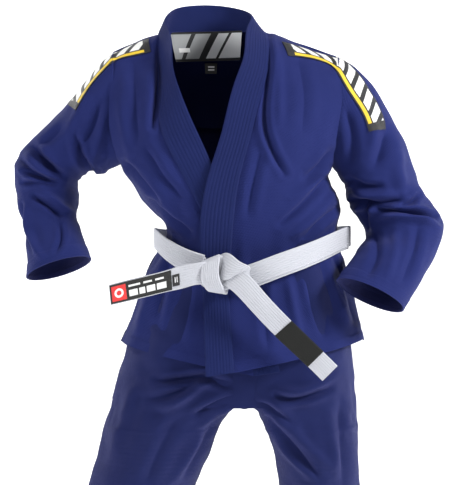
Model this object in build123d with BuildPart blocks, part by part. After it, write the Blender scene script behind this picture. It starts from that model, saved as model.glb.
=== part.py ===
from build123d import *
import math
import os

# Judo-style martial arts uniform, adult size: crossed jacket, long trousers and
# a belt knotted at the waist, standing as it does on a wearer of that size.
# Millimetres. +Z up, the front faces -Y, +X is the wearer's left.
# Origin: centre of the neck opening.

CLOTH = 2.4            # jacket cloth, pearl weave
LIGHT_CLOTH = 1.6      # trouser cloth and linings
BAND = 5.0             # stitched lapel and collar band, foam inside
TAPE = 1.4             # sewn tapes and patches
BELT_WIDTH = 40.0
BELT_THICK = 4.0
GAP = 0.5              # clearance between pieces that turn against each other

SHOULDER_RIGHT = (-166.2, 4.0, -140.8)   # hinge centres
SHOULDER_LEFT = (229.0, 4.0, -140.8)
SHOULDER_R = 118.0
ELBOW_RIGHT = (-276.2, 20.0, -274.2)
ELBOW_LEFT = (332.9, 14.0, -302.4)
ELBOW_R = 92.0
HIP = (18.9, 0.0, -561.3)
HIP_R = 226.0
KNEE_RIGHT = (-168.1, 0.0, -1024.9)
KNEE_LEFT = (238.3, 0.0, -1024.9)
KNEE_R = 112.0
SKIRT_ROW = 10          # the row of cloth under the belt
SKIRT_FRONT = (0, -112.0, -438.0)
SKIRT_BACK = (0, 108.0, -410.0)

# Jacket panels: rows from the lapel (or the wearer's right) outwards, each row
# a line across the cloth.
FRONT_LEFT = [
    [(108.1, 25.0, -1.3), (131.1, 24.4, -9.2), (154.1, 23.3, -17.0), (177.1, 21.7, -24.9), (200.2, 19.8, -32.8), (223.2, 17.5, -40.6), (246.2, 15.0, -48.5)],
    [(114.9, -20.0, -13.1), (137.3, -23.4, -22.1), (159.8, -26.4, -31.1), (182.3, -28.3, -40.1), (204.7, -28.9, -49.2), (227.2, -28.2, -58.2), (249.7, -27.0, -67.2)],
    [(116.9, -58.0, -41.2), (139.8, -63.0, -51.1), (162.6, -66.7, -60.9), (185.4, -68.0, -70.8), (208.2, -66.7, -80.7), (231.0, -63.0, -90.6), (253.8, -58.0, -100.5)],
    [(111.8, -86.0, -85.4), (137.0, -92.5, -94.5), (162.0, -96.0, -103.5), (186.4, -95.3, -112.4), (210.2, -90.4, -121.0), (233.1, -82.2, -129.3), (255.0, -72.0, -137.3)],
    [(96.7, -113.0, -141.9), (126.1, -119.7, -150.4), (154.7, -120.5, -158.6), (181.7, -114.5, -166.4), (206.6, -103.0, -173.6), (228.8, -88.4, -180.0), (247.9, -70.0, -185.5)],
    [(81.9, -129.0, -198.2), (116.7, -132.1, -208.9), (149.9, -125.8, -219.2), (179.8, -111.0, -228.4), (205.2, -90.8, -236.2), (225.0, -68.5, -242.4), (238.7, -38.0, -246.6)],
    [(67.3, -136.0, -250.9), (108.7, -134.9, -256.9), (147.5, -122.5, -262.6), (181.1, -100.2, -267.4), (207.6, -71.2, -271.3), (225.3, -39.1, -273.9), (233.2, 0.0, -275.0)],
    [(56.3, -134.0, -311.6), (106.1, -132.2, -312.0), (152.5, -119.4, -312.4), (192.4, -96.5, -312.8), (223.0, -66.1, -313.1), (242.2, -31.4, -313.2), (248.8, 5.0, -313.3)],
    [(50.9, -129.0, -363.4), (104.1, -125.9, -358.3), (153.7, -113.0, -353.6), (196.3, -91.3, -349.5), (228.9, -62.8, -346.4), (249.5, -29.9, -344.4), (256.5, 5.0, -343.7)],
    [(47.2, -125.0, -408.1), (99.9, -120.6, -397.9), (149.1, -107.6, -388.3), (191.2, -86.9, -380.1), (223.6, -60.0, -373.8), (244.0, -28.6, -369.9), (250.9, 5.0, -368.5)],
    [(45.4, -124.0, -450.8), (99.1, -119.6, -436.9), (149.2, -106.7, -424.0), (192.2, -86.2, -412.8), (225.1, -59.5, -404.3), (245.9, -28.4, -399.0), (252.9, 5.0, -397.1)],
    [(43.5, -127.0, -483.8), (99.7, -122.7, -469.2), (152.0, -110.0, -455.5), (196.9, -89.8, -443.8), (231.4, -63.5, -434.8), (253.0, -32.9, -429.2), (260.4, 0.0, -427.2)],
    [(47.2, -143.0, -554.2), (109.3, -138.3, -546.9), (167.3, -124.4, -540.2), (217.0, -102.3, -534.4), (255.2, -73.5, -530.0), (279.1, -40.0, -527.2), (287.3, -4.0, -526.3)],
    [(52.7, -160.0, -627.7), (116.9, -154.8, -615.7), (176.7, -139.6, -604.5), (228.1, -115.5, -594.9), (267.5, -84.0, -587.6), (292.3, -47.3, -582.9), (300.7, -8.0, -581.4)],
]
FRONT_RIGHT = [
    [(-79.5, 25.0, -3.2), (-95.2, 24.4, -9.5), (-111.0, 23.3, -15.8), (-126.7, 21.7, -22.1), (-142.5, 19.8, -28.4), (-158.2, 17.5, -34.7), (-173.9, 15.0, -41.0)],
    [(-84.1, -12.0, -16.7), (-99.0, -15.4, -24.2), (-114.0, -18.9, -31.7), (-128.9, -21.9, -39.2), (-143.8, -24.2, -46.6), (-158.7, -25.7, -54.1), (-173.7, -27.0, -61.6)],
    [(-83.6, -32.0, -46.7), (-99.0, -40.4, -55.0), (-114.4, -48.3, -63.4), (-129.8, -53.9, -71.7), (-145.2, -56.7, -80.1), (-160.6, -56.9, -88.4), (-176.0, -56.0, -96.8)],
    [(-82.0, -54.0, -80.1), (-97.9, -65.0, -89.3), (-113.8, -74.4, -98.5), (-129.6, -79.9, -107.8), (-145.5, -80.7, -117.0), (-161.3, -77.4, -126.2), (-177.2, -72.0, -135.4)],
    [(-82.2, -82.0, -124.1), (-99.0, -91.8, -134.3), (-115.6, -97.7, -144.3), (-131.8, -98.0, -154.2), (-147.6, -92.4, -163.7), (-162.9, -82.4, -173.0), (-177.5, -70.0, -181.8)],
    [(-75.9, -114.0, -184.0), (-93.6, -117.4, -197.8), (-110.5, -112.8, -210.9), (-126.0, -100.7, -222.9), (-139.5, -83.6, -233.4), (-150.6, -64.2, -242.0), (-158.9, -38.0, -248.5)],
    [(-57.3, -128.0, -229.3), (-78.9, -127.2, -241.2), (-99.1, -115.6, -252.3), (-116.7, -94.6, -262.0), (-130.6, -67.2, -269.6), (-139.8, -36.9, -274.6), (-143.9, 0.0, -276.9)],
    [(-33.5, -130.0, -276.9), (-55.8, -128.3, -286.8), (-76.5, -115.9, -296.1), (-94.4, -93.6, -304.0), (-108.1, -64.1, -310.1), (-116.7, -30.4, -313.9), (-119.6, 5.0, -315.2)],
    [(-4.3, -124.0, -334.3), (-26.8, -121.1, -336.8), (-47.7, -108.7, -339.0), (-65.7, -87.8, -341.0), (-79.6, -60.3, -342.5), (-88.2, -28.6, -343.4), (-91.2, 5.0, -343.7)],
    [(21.4, -118.0, -386.5), (-3.1, -113.8, -382.9), (-25.9, -101.5, -379.4), (-45.5, -82.0, -376.5), (-60.5, -56.5, -374.2), (-70.0, -26.8, -372.8), (-73.2, 5.0, -372.3)],
    [(45.4, -116.0, -433.0), (14.4, -111.9, -423.7), (-14.4, -99.8, -415.1), (-39.2, -80.6, -407.7), (-58.2, -55.5, -401.9), (-70.2, -26.3, -398.4), (-74.2, 5.0, -397.1)],
    [(62.0, -119.0, -492.1), (21.9, -114.9, -474.4), (-15.6, -103.1, -457.8), (-47.7, -84.1, -443.5), (-72.4, -59.5, -432.6), (-87.9, -30.8, -425.8), (-93.2, 0.0, -423.4)],
    [(76.7, -134.0, -560.9), (23.8, -129.6, -548.0), (-25.4, -116.6, -535.9), (-67.7, -95.9, -525.6), (-100.2, -69.0, -517.6), (-120.6, -37.6, -512.6), (-127.5, -4.0, -510.9)],
    [(91.3, -151.0, -634.6), (26.8, -146.1, -622.8), (-33.4, -131.8, -611.8), (-85.1, -109.1, -602.4), (-124.7, -79.5, -595.1), (-149.6, -45.0, -590.6), (-158.1, -8.0, -589.0)],
]
BACK = [
    [(-85.7, 40.0, -8.7), (-73.2, 56.7, -8.7), (-51.2, 67.7, -8.7), (-21.9, 75.3, -8.7), (11.4, 78.0, -8.7), (44.6, 75.3, -8.7), (73.9, 67.7, -8.7), (96.0, 56.7, -8.7), (108.4, 40.0, -8.7)],
    [(-121.4, 27.0, -22.0), (-99.5, 51.9, -22.0), (-65.0, 67.6, -22.0), (-20.9, 78.2, -22.0), (28.5, 82.0, -22.0), (77.9, 78.2, -22.0), (122.1, 67.6, -22.0), (156.6, 51.9, -22.0), (178.4, 27.0, -22.0)],
    [(-155.6, 28.0, -37.1), (-127.7, 55.1, -37.1), (-83.6, 72.3, -37.1), (-27.1, 83.9, -37.1), (36.1, 88.0, -37.1), (99.3, 83.9, -37.1), (155.8, 72.3, -37.1), (199.9, 55.1, -37.1), (227.8, 28.0, -37.1)],
    [(-177.0, 36.0, -61.7), (-142.0, 62.0, -62.2), (-91.8, 77.8, -62.9), (-30.0, 88.3, -63.7), (38.0, 92.0, -64.6), (106.0, 88.3, -65.5), (167.8, 77.8, -66.3), (218.0, 62.0, -67.0), (253.1, 36.0, -67.4)],
    [(-182.2, 58.0, -98.0), (-142.3, 79.9, -98.4), (-89.9, 92.8, -98.8), (-28.1, 101.1, -99.4), (39.0, 104.0, -99.9), (106.0, 101.1, -100.5), (167.9, 92.8, -101.1), (220.2, 79.9, -101.5), (260.1, 58.0, -101.9)],
    [(-184.9, 68.0, -138.4), (-144.5, 88.8, -138.6), (-91.5, 101.1, -138.8), (-28.9, 109.2, -139.0), (38.9, 112.0, -139.3), (106.7, 109.1, -139.6), (169.3, 100.9, -139.9), (222.3, 88.0, -140.1), (262.7, 66.0, -140.3)],
    [(-184.8, 62.0, -186.2), (-152.7, 87.2, -186.4), (-102.2, 103.2, -186.9), (-37.4, 114.1, -187.4), (35.1, 118.0, -188.1), (107.5, 114.1, -188.7), (172.3, 102.9, -189.2), (222.9, 86.3, -189.7), (254.9, 60.0, -189.9)],
    [(-162.4, 32.0, -251.9), (-143.5, 68.5, -251.8), (-99.0, 96.3, -251.6), (-34.8, 115.3, -251.3), (39.9, 122.0, -251.0), (114.7, 115.3, -250.6), (178.8, 96.3, -250.3), (223.3, 68.5, -250.1), (242.2, 32.0, -250.0)],
    [(-144.3, 9.0, -277.4), (-129.9, 51.9, -277.3), (-89.0, 88.2, -277.1), (-27.7, 112.5, -276.8), (44.6, 121.0, -276.4), (117.0, 112.5, -276.1), (178.3, 88.2, -275.8), (219.2, 51.9, -275.6), (233.6, 9.0, -275.5)],
    [(-119.8, 9.0, -315.5), (-105.7, 50.3, -315.4), (-65.8, 85.4, -315.2), (-5.9, 108.8, -314.9), (64.6, 117.0, -314.5), (135.2, 108.8, -314.1), (195.0, 85.4, -313.8), (234.9, 50.3, -313.6), (249.0, 9.0, -313.5)],
    [(-91.3, 9.0, -344.0), (-78.1, 48.4, -344.0), (-40.4, 81.8, -344.0), (16.1, 104.2, -344.0), (82.7, 112.0, -344.0), (149.3, 104.2, -344.0), (205.7, 81.8, -344.0), (243.5, 48.4, -344.0), (256.7, 9.0, -344.0)],
    [(-73.3, 9.0, -372.7), (-61.0, 46.5, -372.5), (-25.8, 78.3, -372.1), (26.8, 99.5, -371.5), (88.9, 107.0, -370.7), (151.0, 99.5, -370.0), (203.6, 78.3, -369.4), (238.8, 46.5, -369.0), (251.1, 9.0, -368.8)],
    [(-74.3, 9.0, -397.5), (-61.9, 46.1, -397.5), (-26.4, 77.6, -397.5), (26.7, 98.6, -397.5), (89.4, 106.0, -397.5), (152.1, 98.6, -397.5), (205.2, 77.6, -397.5), (240.7, 46.1, -397.5), (253.2, 9.0, -397.5)],
    [(-93.3, 5.0, -423.9), (-79.9, 46.3, -424.0), (-41.5, 81.4, -424.4), (15.9, 104.8, -425.1), (83.7, 113.0, -425.8), (151.4, 104.8, -426.5), (208.9, 81.4, -427.2), (247.2, 46.3, -427.6), (260.7, 5.0, -427.7)],
    [(-127.8, 2.0, -511.6), (-112.0, 51.0, -512.2), (-66.9, 92.5, -513.9), (0.5, 120.3, -516.4), (80.0, 130.0, -519.3), (159.5, 120.3, -522.2), (226.9, 92.5, -524.7), (271.9, 51.0, -526.4), (287.7, 2.0, -527.0)],
    [(-160.4, 0.0, -590.1), (-142.8, 54.3, -590.0), (-92.5, 100.4, -589.8), (-17.3, 131.2, -589.5), (71.4, 142.0, -589.2), (160.1, 131.2, -588.8), (235.3, 100.4, -588.5), (285.5, 54.3, -588.3), (303.2, 0.0, -588.2)],
]
BAND_LINE = [
    ((139.0, -146.6, -628.2), (93.1, -148.6, -635.3)),
    ((122.8, -130.6, -556.2), (78.5, -131.6, -561.6)),
    ((106.3, -115.5, -483.3), (63.9, -116.5, -492.5)),
    ((87.9, -115.5, -414.0), (47.4, -113.5, -432.7)),
    ((65.7, -120.5, -357.7), (23.3, -116.5, -385.7)),
    ((40.0, -128.5, -301.9), (-2.3, -123.5, -333.5)),
    ((14.5, -132.5, -247.0), (-31.4, -128.5, -276.5)),
    ((-1.6, -130.6, -209.3), (-54.8, -125.6, -231.5)),
    ((-19.4, -123.7, -169.8), (-72.8, -113.7, -192.1)),
    ((-35.1, -113.1, -130.1), (-79.7, -97.1, -156.2)),
    ((-48.8, -102.7, -93.1), (-80.8, -78.7, -122.8)),
    ((-57.8, -88.4, -59.4), (-83.0, -50.4, -79.9)),
    ((-60.1, -64.9, -27.6), (-85.4, -28.9, -44.2)),
    ((-66.5, -24.8, -0.8), (-85.7, -8.8, -15.6)),
    ((-73.7, 24.0, 21.7), (-83.6, 34.0, -2.7)),
    ((-59.4, 60.0, 39.1), (-67.0, 54.0, -1.9)),
    ((-33.0, 80.0, 47.2), (-34.8, 70.0, -0.7)),
    ((-0.4, 86.0, 49.2), (-0.4, 76.0, -0.6)),
    ((32.2, 80.0, 47.2), (36.1, 70.0, -0.7)),
    ((62.8, 62.0, 41.0), (72.4, 56.0, -1.8)),
    ((85.4, 26.0, 28.9), (102.6, 34.0, -3.1)),
    ((80.2, -14.0, 7.5), (113.2, -8.0, -11.1)),
    ((75.5, -48.7, -20.0), (117.3, -52.7, -38.6)),
    ((71.7, -77.6, -51.2), (114.2, -83.6, -77.0)),
    ((58.7, -100.7, -87.8), (103.7, -105.7, -115.2)),
    ((46.5, -115.8, -126.1), (93.2, -121.8, -153.4)),
    ((30.8, -134.9, -190.0), (80.2, -135.9, -204.6)),
    ((11.6, -144.0, -250.5), (63.7, -143.0, -265.2)),
    ((-3.1, -143.0, -311.5), (54.6, -141.0, -319.0)),
    ((-8.7, -138.0, -363.4), (50.0, -136.0, -367.2)),
    ((-8.7, -135.0, -413.2), (46.4, -133.0, -415.2)),
    ((-3.3, -135.0, -479.2), (43.7, -134.0, -483.0)),
    ((-0.4, -151.9, -552.6), (47.3, -149.9, -551.1)),
    ((2.3, -167.9, -633.7), (52.7, -165.9, -626.6)),
]
# Belt: upper and lower edge all along each run.
BELT_FRONT_RIGHT = [
    ((-91.0, -1.0, -373.4), (-91.3, 1.0, -412.4)),
    ((-83.1, -56.6, -376.5), (-84.5, -51.4, -415.1)),
    ((-61.2, -102.2, -388.0), (-66.7, -93.8, -425.7)),
    ((-29.4, -134.4, -401.8), (-38.0, -127.6, -439.2)),
    ((2.2, -149.3, -411.2), (-6.8, -144.7, -448.8)),
]
BELT_FRONT_LEFT = [
    ((55.8, -148.4, -437.1), (67.9, -147.6, -474.2)),
    ((88.4, -146.8, -426.4), (101.2, -145.2, -463.2)),
    ((129.3, -140.6, -411.4), (141.3, -137.4, -448.3)),
    ((171.2, -126.5, -397.8), (181.1, -121.5, -435.2)),
    ((212.6, -101.1, -384.2), (219.3, -94.9, -422.1)),
    ((248.6, -56.1, -372.7), (251.0, -51.9, -411.4)),
    ((271.3, -0.9, -369.6), (272.0, 0.9, -408.6)),
]
BELT_BACK = [
    ((271.5, 2.1, -369.7), (271.9, -1.1, -408.6)),
    ((265.7, 45.9, -373.4), (267.3, 42.1, -412.2)),
    ((232.7, 91.2, -380.2), (235.7, 88.8, -419.0)),
    ((164.2, 122.3, -385.8), (166.3, 121.7, -424.7)),
    ((86.8, 131.0, -388.5), (87.3, 131.0, -427.5)),
    ((16.9, 122.1, -387.7), (16.0, 121.9, -426.7)),
    ((-48.4, 90.8, -385.0), (-50.5, 89.2, -423.9)),
    ((-84.0, 46.1, -379.2), (-85.9, 41.9, -417.9)),
    ((-90.8, 3.0, -373.6), (-91.5, -2.0, -412.3)),
]
# centre, direction of the first half axis, direction along the tube, half axes
SLEEVE_RIGHT = [
    ((-166.0, 0.0, -147.6), (0.0676, 0.0000, -0.9977), (-0.9977, 0.0000, -0.0676), 104.9, 66.0),
    ((-192.8, 4.0, -169.3), (0.0908, 0.0000, -0.9959), (-0.9959, 0.0000, -0.0908), 98.7, 70.0),
    ((-217.0, 10.0, -190.3), (0.1888, 0.0000, -0.9820), (-0.9820, 0.0000, -0.1888), 83.0, 72.0),
    ((-246.9, 16.0, -211.3), (0.4429, 0.0000, -0.8966), (-0.8966, 0.0000, -0.4429), 63.5, 72.0),
    ((-277.0, 22.0, -238.1), (0.7758, 0.0000, -0.6309), (-0.6309, 0.0000, -0.7758), 57.3, 71.0),
    ((-300.4, 26.0, -269.8), (0.9353, 0.0000, -0.3539), (-0.3539, 0.0000, -0.9353), 62.0, 69.0),
    ((-300.4, 22.0, -308.7), (0.9876, 0.0000, -0.1572), (-0.1572, 0.0000, -0.9876), 60.7, 67.0),
    ((-300.7, 12.0, -337.6), (0.9932, 0.0000, -0.1163), (-0.1163, 0.0000, -0.9932), 57.4, 64.0),
    ((-284.1, -22.0, -394.8), (0.9567, 0.0028, 0.2910), (0.2836, -0.2341, -0.9299), 54.2, 60.0),
    ((-273.8, -56.0, -445.1), (0.9313, -0.1338, 0.3388), (0.2804, -0.3304, -0.9012), 62.8, 57.0),
]
SLEEVE_LEFT = [
    ((244.0, 0.0, -151.3), (-0.0702, 0.0000, -0.9975), (0.9975, 0.0000, -0.0702), 101.2, 66.0),
    ((286.1, 7.0, -190.2), (-0.4262, 0.0000, -0.9046), (0.9046, 0.0000, -0.4262), 87.9, 71.0),
    ((305.5, 11.0, -222.5), (-0.6128, 0.0000, -0.7902), (0.7902, 0.0000, -0.6128), 76.8, 72.0),
    ((323.1, 15.0, -260.6), (-0.8049, 0.0000, -0.5934), (0.5934, 0.0000, -0.8049), 70.5, 72.0),
    ((339.9, 19.0, -307.5), (-0.9564, 0.0000, -0.2922), (0.2922, 0.0000, -0.9564), 68.6, 71.0),
    ((364.8, 17.0, -344.6), (-0.9971, 0.0000, -0.0760), (0.0760, 0.0000, -0.9971), 75.5, 70.0),
    ((379.1, 2.0, -380.7), (-0.9979, 0.0000, -0.0650), (0.0650, 0.0000, -0.9979), 73.3, 67.0),
    ((338.6, -62.0, -449.6), (-0.9260, 0.0276, 0.3766), (-0.3707, -0.2569, -0.8925), 67.4, 61.0),
    ((307.4, -98.0, -490.8), (-0.8887, -0.0699, 0.4531), (-0.4010, -0.3609, -0.8420), 68.0, 58.0),
]
LEG_RIGHT = [
    ((-65.3, 2.0, -708.0), (1.0000, 0.0000, 0.0000), (-0.0000, -0.0000, -1.0000), 114.8, 120.0),
    ((-75.0, 2.0, -737.1), (0.9998, 0.0000, -0.0174), (-0.0174, 0.0000, -0.9998), 111.1, 118.0),
    ((-91.4, 3.0, -781.8), (1.0000, 0.0000, 0.0000), (-0.0000, -0.0000, -1.0000), 108.3, 114.0),
    ((-112.7, 4.0, -840.3), (1.0000, 0.0000, 0.0000), (-0.0000, -0.0000, -1.0000), 104.6, 108.0),
    ((-133.1, 3.0, -901.5), (0.9996, 0.0000, -0.0293), (-0.0293, 0.0000, -0.9996), 100.0, 102.0),
    ((-169.0, 0.0, -1021.0), (0.9979, 0.0000, -0.0641), (-0.0641, 0.0000, -0.9979), 91.6, 92.0),
    ((-196.0, 8.0, -1139.1), (0.9989, 0.0000, -0.0463), (-0.0463, 0.0000, -0.9989), 85.2, 84.0),
    ((-215.6, 16.0, -1258.2), (0.9997, 0.0000, -0.0252), (-0.0252, 0.0000, -0.9997), 78.7, 76.0),
    ((-231.2, 22.0, -1373.6), (1.0000, 0.0000, 0.0000), (-0.0000, -0.0000, -1.0000), 72.2, 70.0),
]
LEG_LEFT = [
    ((193.0, 2.0, -708.0), (-1.0000, 0.0000, 0.0000), (0.0000, 0.0000, -1.0000), 93.8, 120.0),
    ((198.8, 2.0, -737.1), (-0.9998, 0.0000, -0.0220), (0.0220, 0.0000, -0.9998), 88.1, 118.0),
    ((207.7, 3.0, -781.8), (-1.0000, 0.0000, 0.0000), (0.0000, 0.0000, -1.0000), 81.5, 114.0),
    ((215.6, 4.0, -840.3), (-1.0000, 0.0000, 0.0000), (0.0000, 0.0000, -1.0000), 77.8, 108.0),
    ((222.5, 3.0, -898.5), (-1.0000, 0.0000, 0.0000), (0.0000, 0.0000, -1.0000), 75.0, 102.0),
    ((238.2, 0.0, -1015.1), (-1.0000, 0.0000, 0.0000), (0.0000, 0.0000, -1.0000), 75.1, 92.0),
    ((258.5, 8.0, -1135.1), (-1.0000, 0.0000, 0.0000), (0.0000, 0.0000, -1.0000), 71.6, 84.0),
    ((279.9, 16.0, -1256.2), (-1.0000, 0.0000, 0.0000), (0.0000, 0.0000, -1.0000), 67.0, 76.0),
    ((292.6, 22.0, -1377.6), (-1.0000, 0.0000, 0.0000), (0.0000, 0.0000, -1.0000), 69.3, 70.0),
]
SEAT = [
    (88.3, -5.0, -389.1, 152.9, 93.0),
    (86.5, -5.0, -438.7, 160.7, 99.0),
    (79.9, -2.0, -511.4, 188.6, 110.0),
    (66.6, -1.0, -594.0, 211.8, 119.0),
    (59.0, 0.0, -649.8, 223.5, 122.0),
    (54.3, 0.0, -700.0, 232.4, 122.0),
]
# Sewn pieces: lines along their two long edges.
LABEL_TOP = [(-67.0, 44.0, -4.0), (-32.9, 57.0, -3.0), (1.6, 62.0, -2.0), (38.0, 58.0, -1.0), (70.5, 44.0, 0.0)]
LABEL_BOTTOM = [(-55.9, 54.0, -60.0), (-27.3, 66.0, -59.1), (5.3, 71.0, -58.2), (38.0, 66.0, -57.3), (66.7, 53.0, -56.3)]
PATCH_RIGHT = [
    [(-109.8, 24.0, -18.3), (-126.8, 22.0, -21.1), (-154.2, 19.0, -29.6), (-172.1, 16.0, -39.1), (-199.3, 14.0, -62.6), (-217.6, 14.0, -86.2), (-244.5, 16.0, -125.9), (-256.0, 16.0, -139.2)],
    [(-100.7, -22.0, -41.1), (-119.4, -24.0, -43.7), (-143.7, -26.0, -48.5), (-160.5, -28.0, -53.2), (-179.0, -32.0, -65.3), (-196.5, -36.0, -85.8), (-214.5, -38.0, -115.6), (-229.6, -38.0, -138.0)],
]
PATCH_LEFT = [
    [(159.3, 24.0, -14.5), (195.3, 22.0, -23.9), (231.2, 19.0, -40.9), (261.4, 15.0, -56.0), (285.9, 13.0, -73.0), (308.7, 13.0, -90.0), (322.1, 13.0, -107.0), (337.5, 14.0, -133.5)],
    [(148.6, -22.0, -46.7), (176.7, -24.0, -54.1), (202.9, -26.0, -59.7), (230.9, -28.0, -65.3), (251.3, -32.0, -78.4), (266.2, -36.0, -100.7), (281.2, -38.0, -126.8), (301.9, -38.0, -153.0)],
]
KNOT = (34.3, -158.0, -444.4)
TAIL_LEFT_FROM, TAIL_LEFT_TO = (-6.0, -177.0, -443.5), (-172.7, -177.0, -482.9)
TAIL_RIGHT_FROM, TAIL_RIGHT_TO = (58.0, -177.0, -449.7), (229.6, -177.0, -626.8)


def unit(v):
    n = math.sqrt(sum(c * c for c in v))
    return tuple(c / n for c in v)


def row_plane(row):
    """Plane that holds a row: its X along the row, its Y front to back."""
    a, b = row[0], row[-1]
    dx, _, dz = unit((b[0] - a[0], 0, b[2] - a[2]))
    return Plane(origin=(a[0], 0, a[2]), x_dir=(dx, 0, dz), z_dir=(-dz, 0, dx))


def local_points(row):
    a, b = row[0], row[-1]
    dx, _, dz = unit((b[0] - a[0], 0, b[2] - a[2]))
    return [((p[0] - a[0]) * dx + (p[2] - a[2]) * dz, p[1]) for p in row]


def offset_points(points, distance, trim=0.0):
    """The same line moved sideways by a distance, as flat points."""
    moved = []
    n = len(points)
    for i, (u, y) in enumerate(points):
        before, after = points[max(i - 1, 0)], points[min(i + 1, n - 1)]
        tx, ty = after[0] - before[0], after[1] - before[1]
        length = math.hypot(tx, ty)
        moved.append((u - ty / length * distance, y + tx / length * distance))
    return moved


def cloth_section(row, near, far):
    """Closed thin outline between two offsets of a row, positive to the back."""
    points = local_points(row)
    first, second = offset_points(points, near), offset_points(points, far)
    with BuildSketch(row_plane(row)) as section:
        with BuildLine():
            Spline(*first)
            Line(first[-1], second[-1])
            Spline(*second[::-1])
            Line(second[0], first[0])
        make_face()
    return section.sketch


def band_section(pair, before, after, thick, shift=0.0):
    """Flat rectangle across a band, from its free edge to its seam edge."""
    a, b = pair
    width = unit(tuple(b[i] - a[i] for i in range(3)))
    run = tuple(after[0][i] + after[1][i] - before[0][i] - before[1][i] for i in range(3))
    dot = sum(run[i] * width[i] for i in range(3))
    run = unit(tuple(run[i] - dot * width[i] for i in range(3)))
    span = math.dist(a, b)
    centre = tuple((a[i] + b[i]) / 2 for i in range(3))
    with BuildSketch(Plane(origin=centre, x_dir=width, z_dir=run)) as section:
        with Locations((0, shift)):
            Rectangle(span, thick)
    return section.sketch


def band_sections(pairs, thick, shift=0.0):
    n = len(pairs)
    return [
        band_section(pairs[i], pairs[max(i - 1, 0)], pairs[min(i + 1, n - 1)], thick, shift)
        for i in range(n)
    ]


def ring_at(ring, grow=0.0, along=0.0):
    """The same ring, grown and moved along its tube."""
    centre, x_dir, run, a, b = ring
    origin = tuple(centre[i] + run[i] * along for i in range(3))
    return (origin, x_dir, run, a + grow, b + grow)


def half_ring(ring, thick, way):
    """Closed C-shaped outline: half of a thin elliptical ring."""
    centre, x_dir, run, a, b = ring
    angles = [math.pi * i / 8 for i in range(9)]
    outer = [(a * math.cos(t), way * b * math.sin(t)) for t in angles]
    inner = [((a - thick) * math.cos(t), way * (b - thick) * math.sin(t)) for t in angles]
    with BuildSketch(Plane(origin=centre, x_dir=x_dir, z_dir=run)) as section:
        with BuildLine():
            Spline(*outer)
            Line(outer[-1], inner[-1])
            Spline(*inner[::-1])
            Line(inner[0], outer[0])
        make_face()
    return section.sketch


def tube(rings, thick):
    """Open tube through rings, made of its two halves."""
    with BuildPart() as hollow:
        loft([half_ring(r, thick, 1) for r in rings], ruled=True)
        loft([half_ring(r, thick, -1) for r in rings], ruled=True)
    return hollow.part


def seat_ring(row, grow=0.0):
    x, y, z, a, b = row
    return ((x, y, z), (1, 0, 0), (0, 0, -1), a + grow, b + grow)


def save(builder, name):
    builder.part.label = name
    export_step(builder.part, f"parts/{name}.step")


os.makedirs("parts", exist_ok=True)

# ---------------------------------------------------------------- hinge drums
# Round spaces about each hinge: the piece on one side stays inside its drum,
# the piece on the other side stays outside it.


def drum_y(centre, radius):
    with BuildPart() as drum:
        with Locations(centre):
            Cylinder(radius, 420, rotation=(90, 0, 0))
    return drum.part


def drum_x(centre, radius, length=900):
    with BuildPart() as drum:
        with Locations(centre):
            Cylinder(radius, length, rotation=(0, 90, 0))
    return drum.part


def beyond(centre, run, radius, make_drum):
    """Everything past a hinge along a direction, outside the hinge's drum."""
    drum = make_drum(centre, radius)
    with BuildPart(Plane(origin=centre, z_dir=run)) as past:
        Box(900, 900, 1200, align=(Align.CENTER, Align.CENTER, Align.MIN))
    with BuildPart() as region:
        add(past.part)
        add(drum, mode=Mode.SUBTRACT)
    return region.part


# -------------------------------------------------------------- jacket panels
with BuildPart() as jacket_front_left:
    loft([cloth_section(r, 0, CLOTH) for r in FRONT_LEFT[: SKIRT_ROW + 1]])
save(jacket_front_left, "jacket_front_left")

with BuildPart() as jacket_front_right:
    loft([cloth_section(r, 0, CLOTH) for r in FRONT_RIGHT[: SKIRT_ROW + 1]])
save(jacket_front_right, "jacket_front_right")

with BuildPart() as jacket_back:
    loft([cloth_section(r, -CLOTH, 0) for r in BACK[: SKIRT_ROW + 3]], ruled=True)
save(jacket_back, "jacket_back")

with BuildPart() as skirt_front_left:
    loft([cloth_section(r, 0, CLOTH) for r in FRONT_LEFT[SKIRT_ROW:]])
    add(drum_x(SKIRT_FRONT, 12), mode=Mode.SUBTRACT)
save(skirt_front_left, "skirt_front_left")

with BuildPart() as skirt_front_right:
    loft([cloth_section(r, 0, CLOTH) for r in FRONT_RIGHT[SKIRT_ROW:]])
    add(drum_x(SKIRT_FRONT, 12), mode=Mode.SUBTRACT)
save(skirt_front_right, "skirt_front_right")

with BuildPart() as skirt_back:
    loft([cloth_section(r, -CLOTH, 0) for r in BACK[SKIRT_ROW + 2 :]])
save(skirt_back, "skirt_back")

# ----------------------------------------------------------- collar and lapels
# One stitched band runs from the right hem round the neck to the left hem.
BAND_PLACES = band_sections(BAND_LINE, BAND)

with BuildPart() as lapel_right_skirt:
    loft(BAND_PLACES[0:6])
    split(bisect_by=Plane.XY.offset(SKIRT_FRONT[2] - 10), keep=Keep.BOTTOM)
save(lapel_right_skirt, "lapel_right_skirt")

with BuildPart() as lapel_right:
    loft(BAND_PLACES[4:15])
    split(bisect_by=Plane.XY.offset(SKIRT_FRONT[2]), keep=Keep.TOP)
save(lapel_right, "lapel_right")

with BuildPart() as collar_back:
    loft(BAND_PLACES[14:21])
save(collar_back, "collar_back")

with BuildPart() as lapel_left:
    loft(BAND_PLACES[20:32])
    split(bisect_by=Plane.XY.offset(SKIRT_FRONT[2]), keep=Keep.TOP)
save(lapel_left, "lapel_left")

with BuildPart() as lapel_left_skirt:
    loft(BAND_PLACES[30:])
    split(bisect_by=Plane.XY.offset(SKIRT_FRONT[2] - 10), keep=Keep.BOTTOM)
save(lapel_left_skirt, "lapel_left_skirt")

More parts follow.
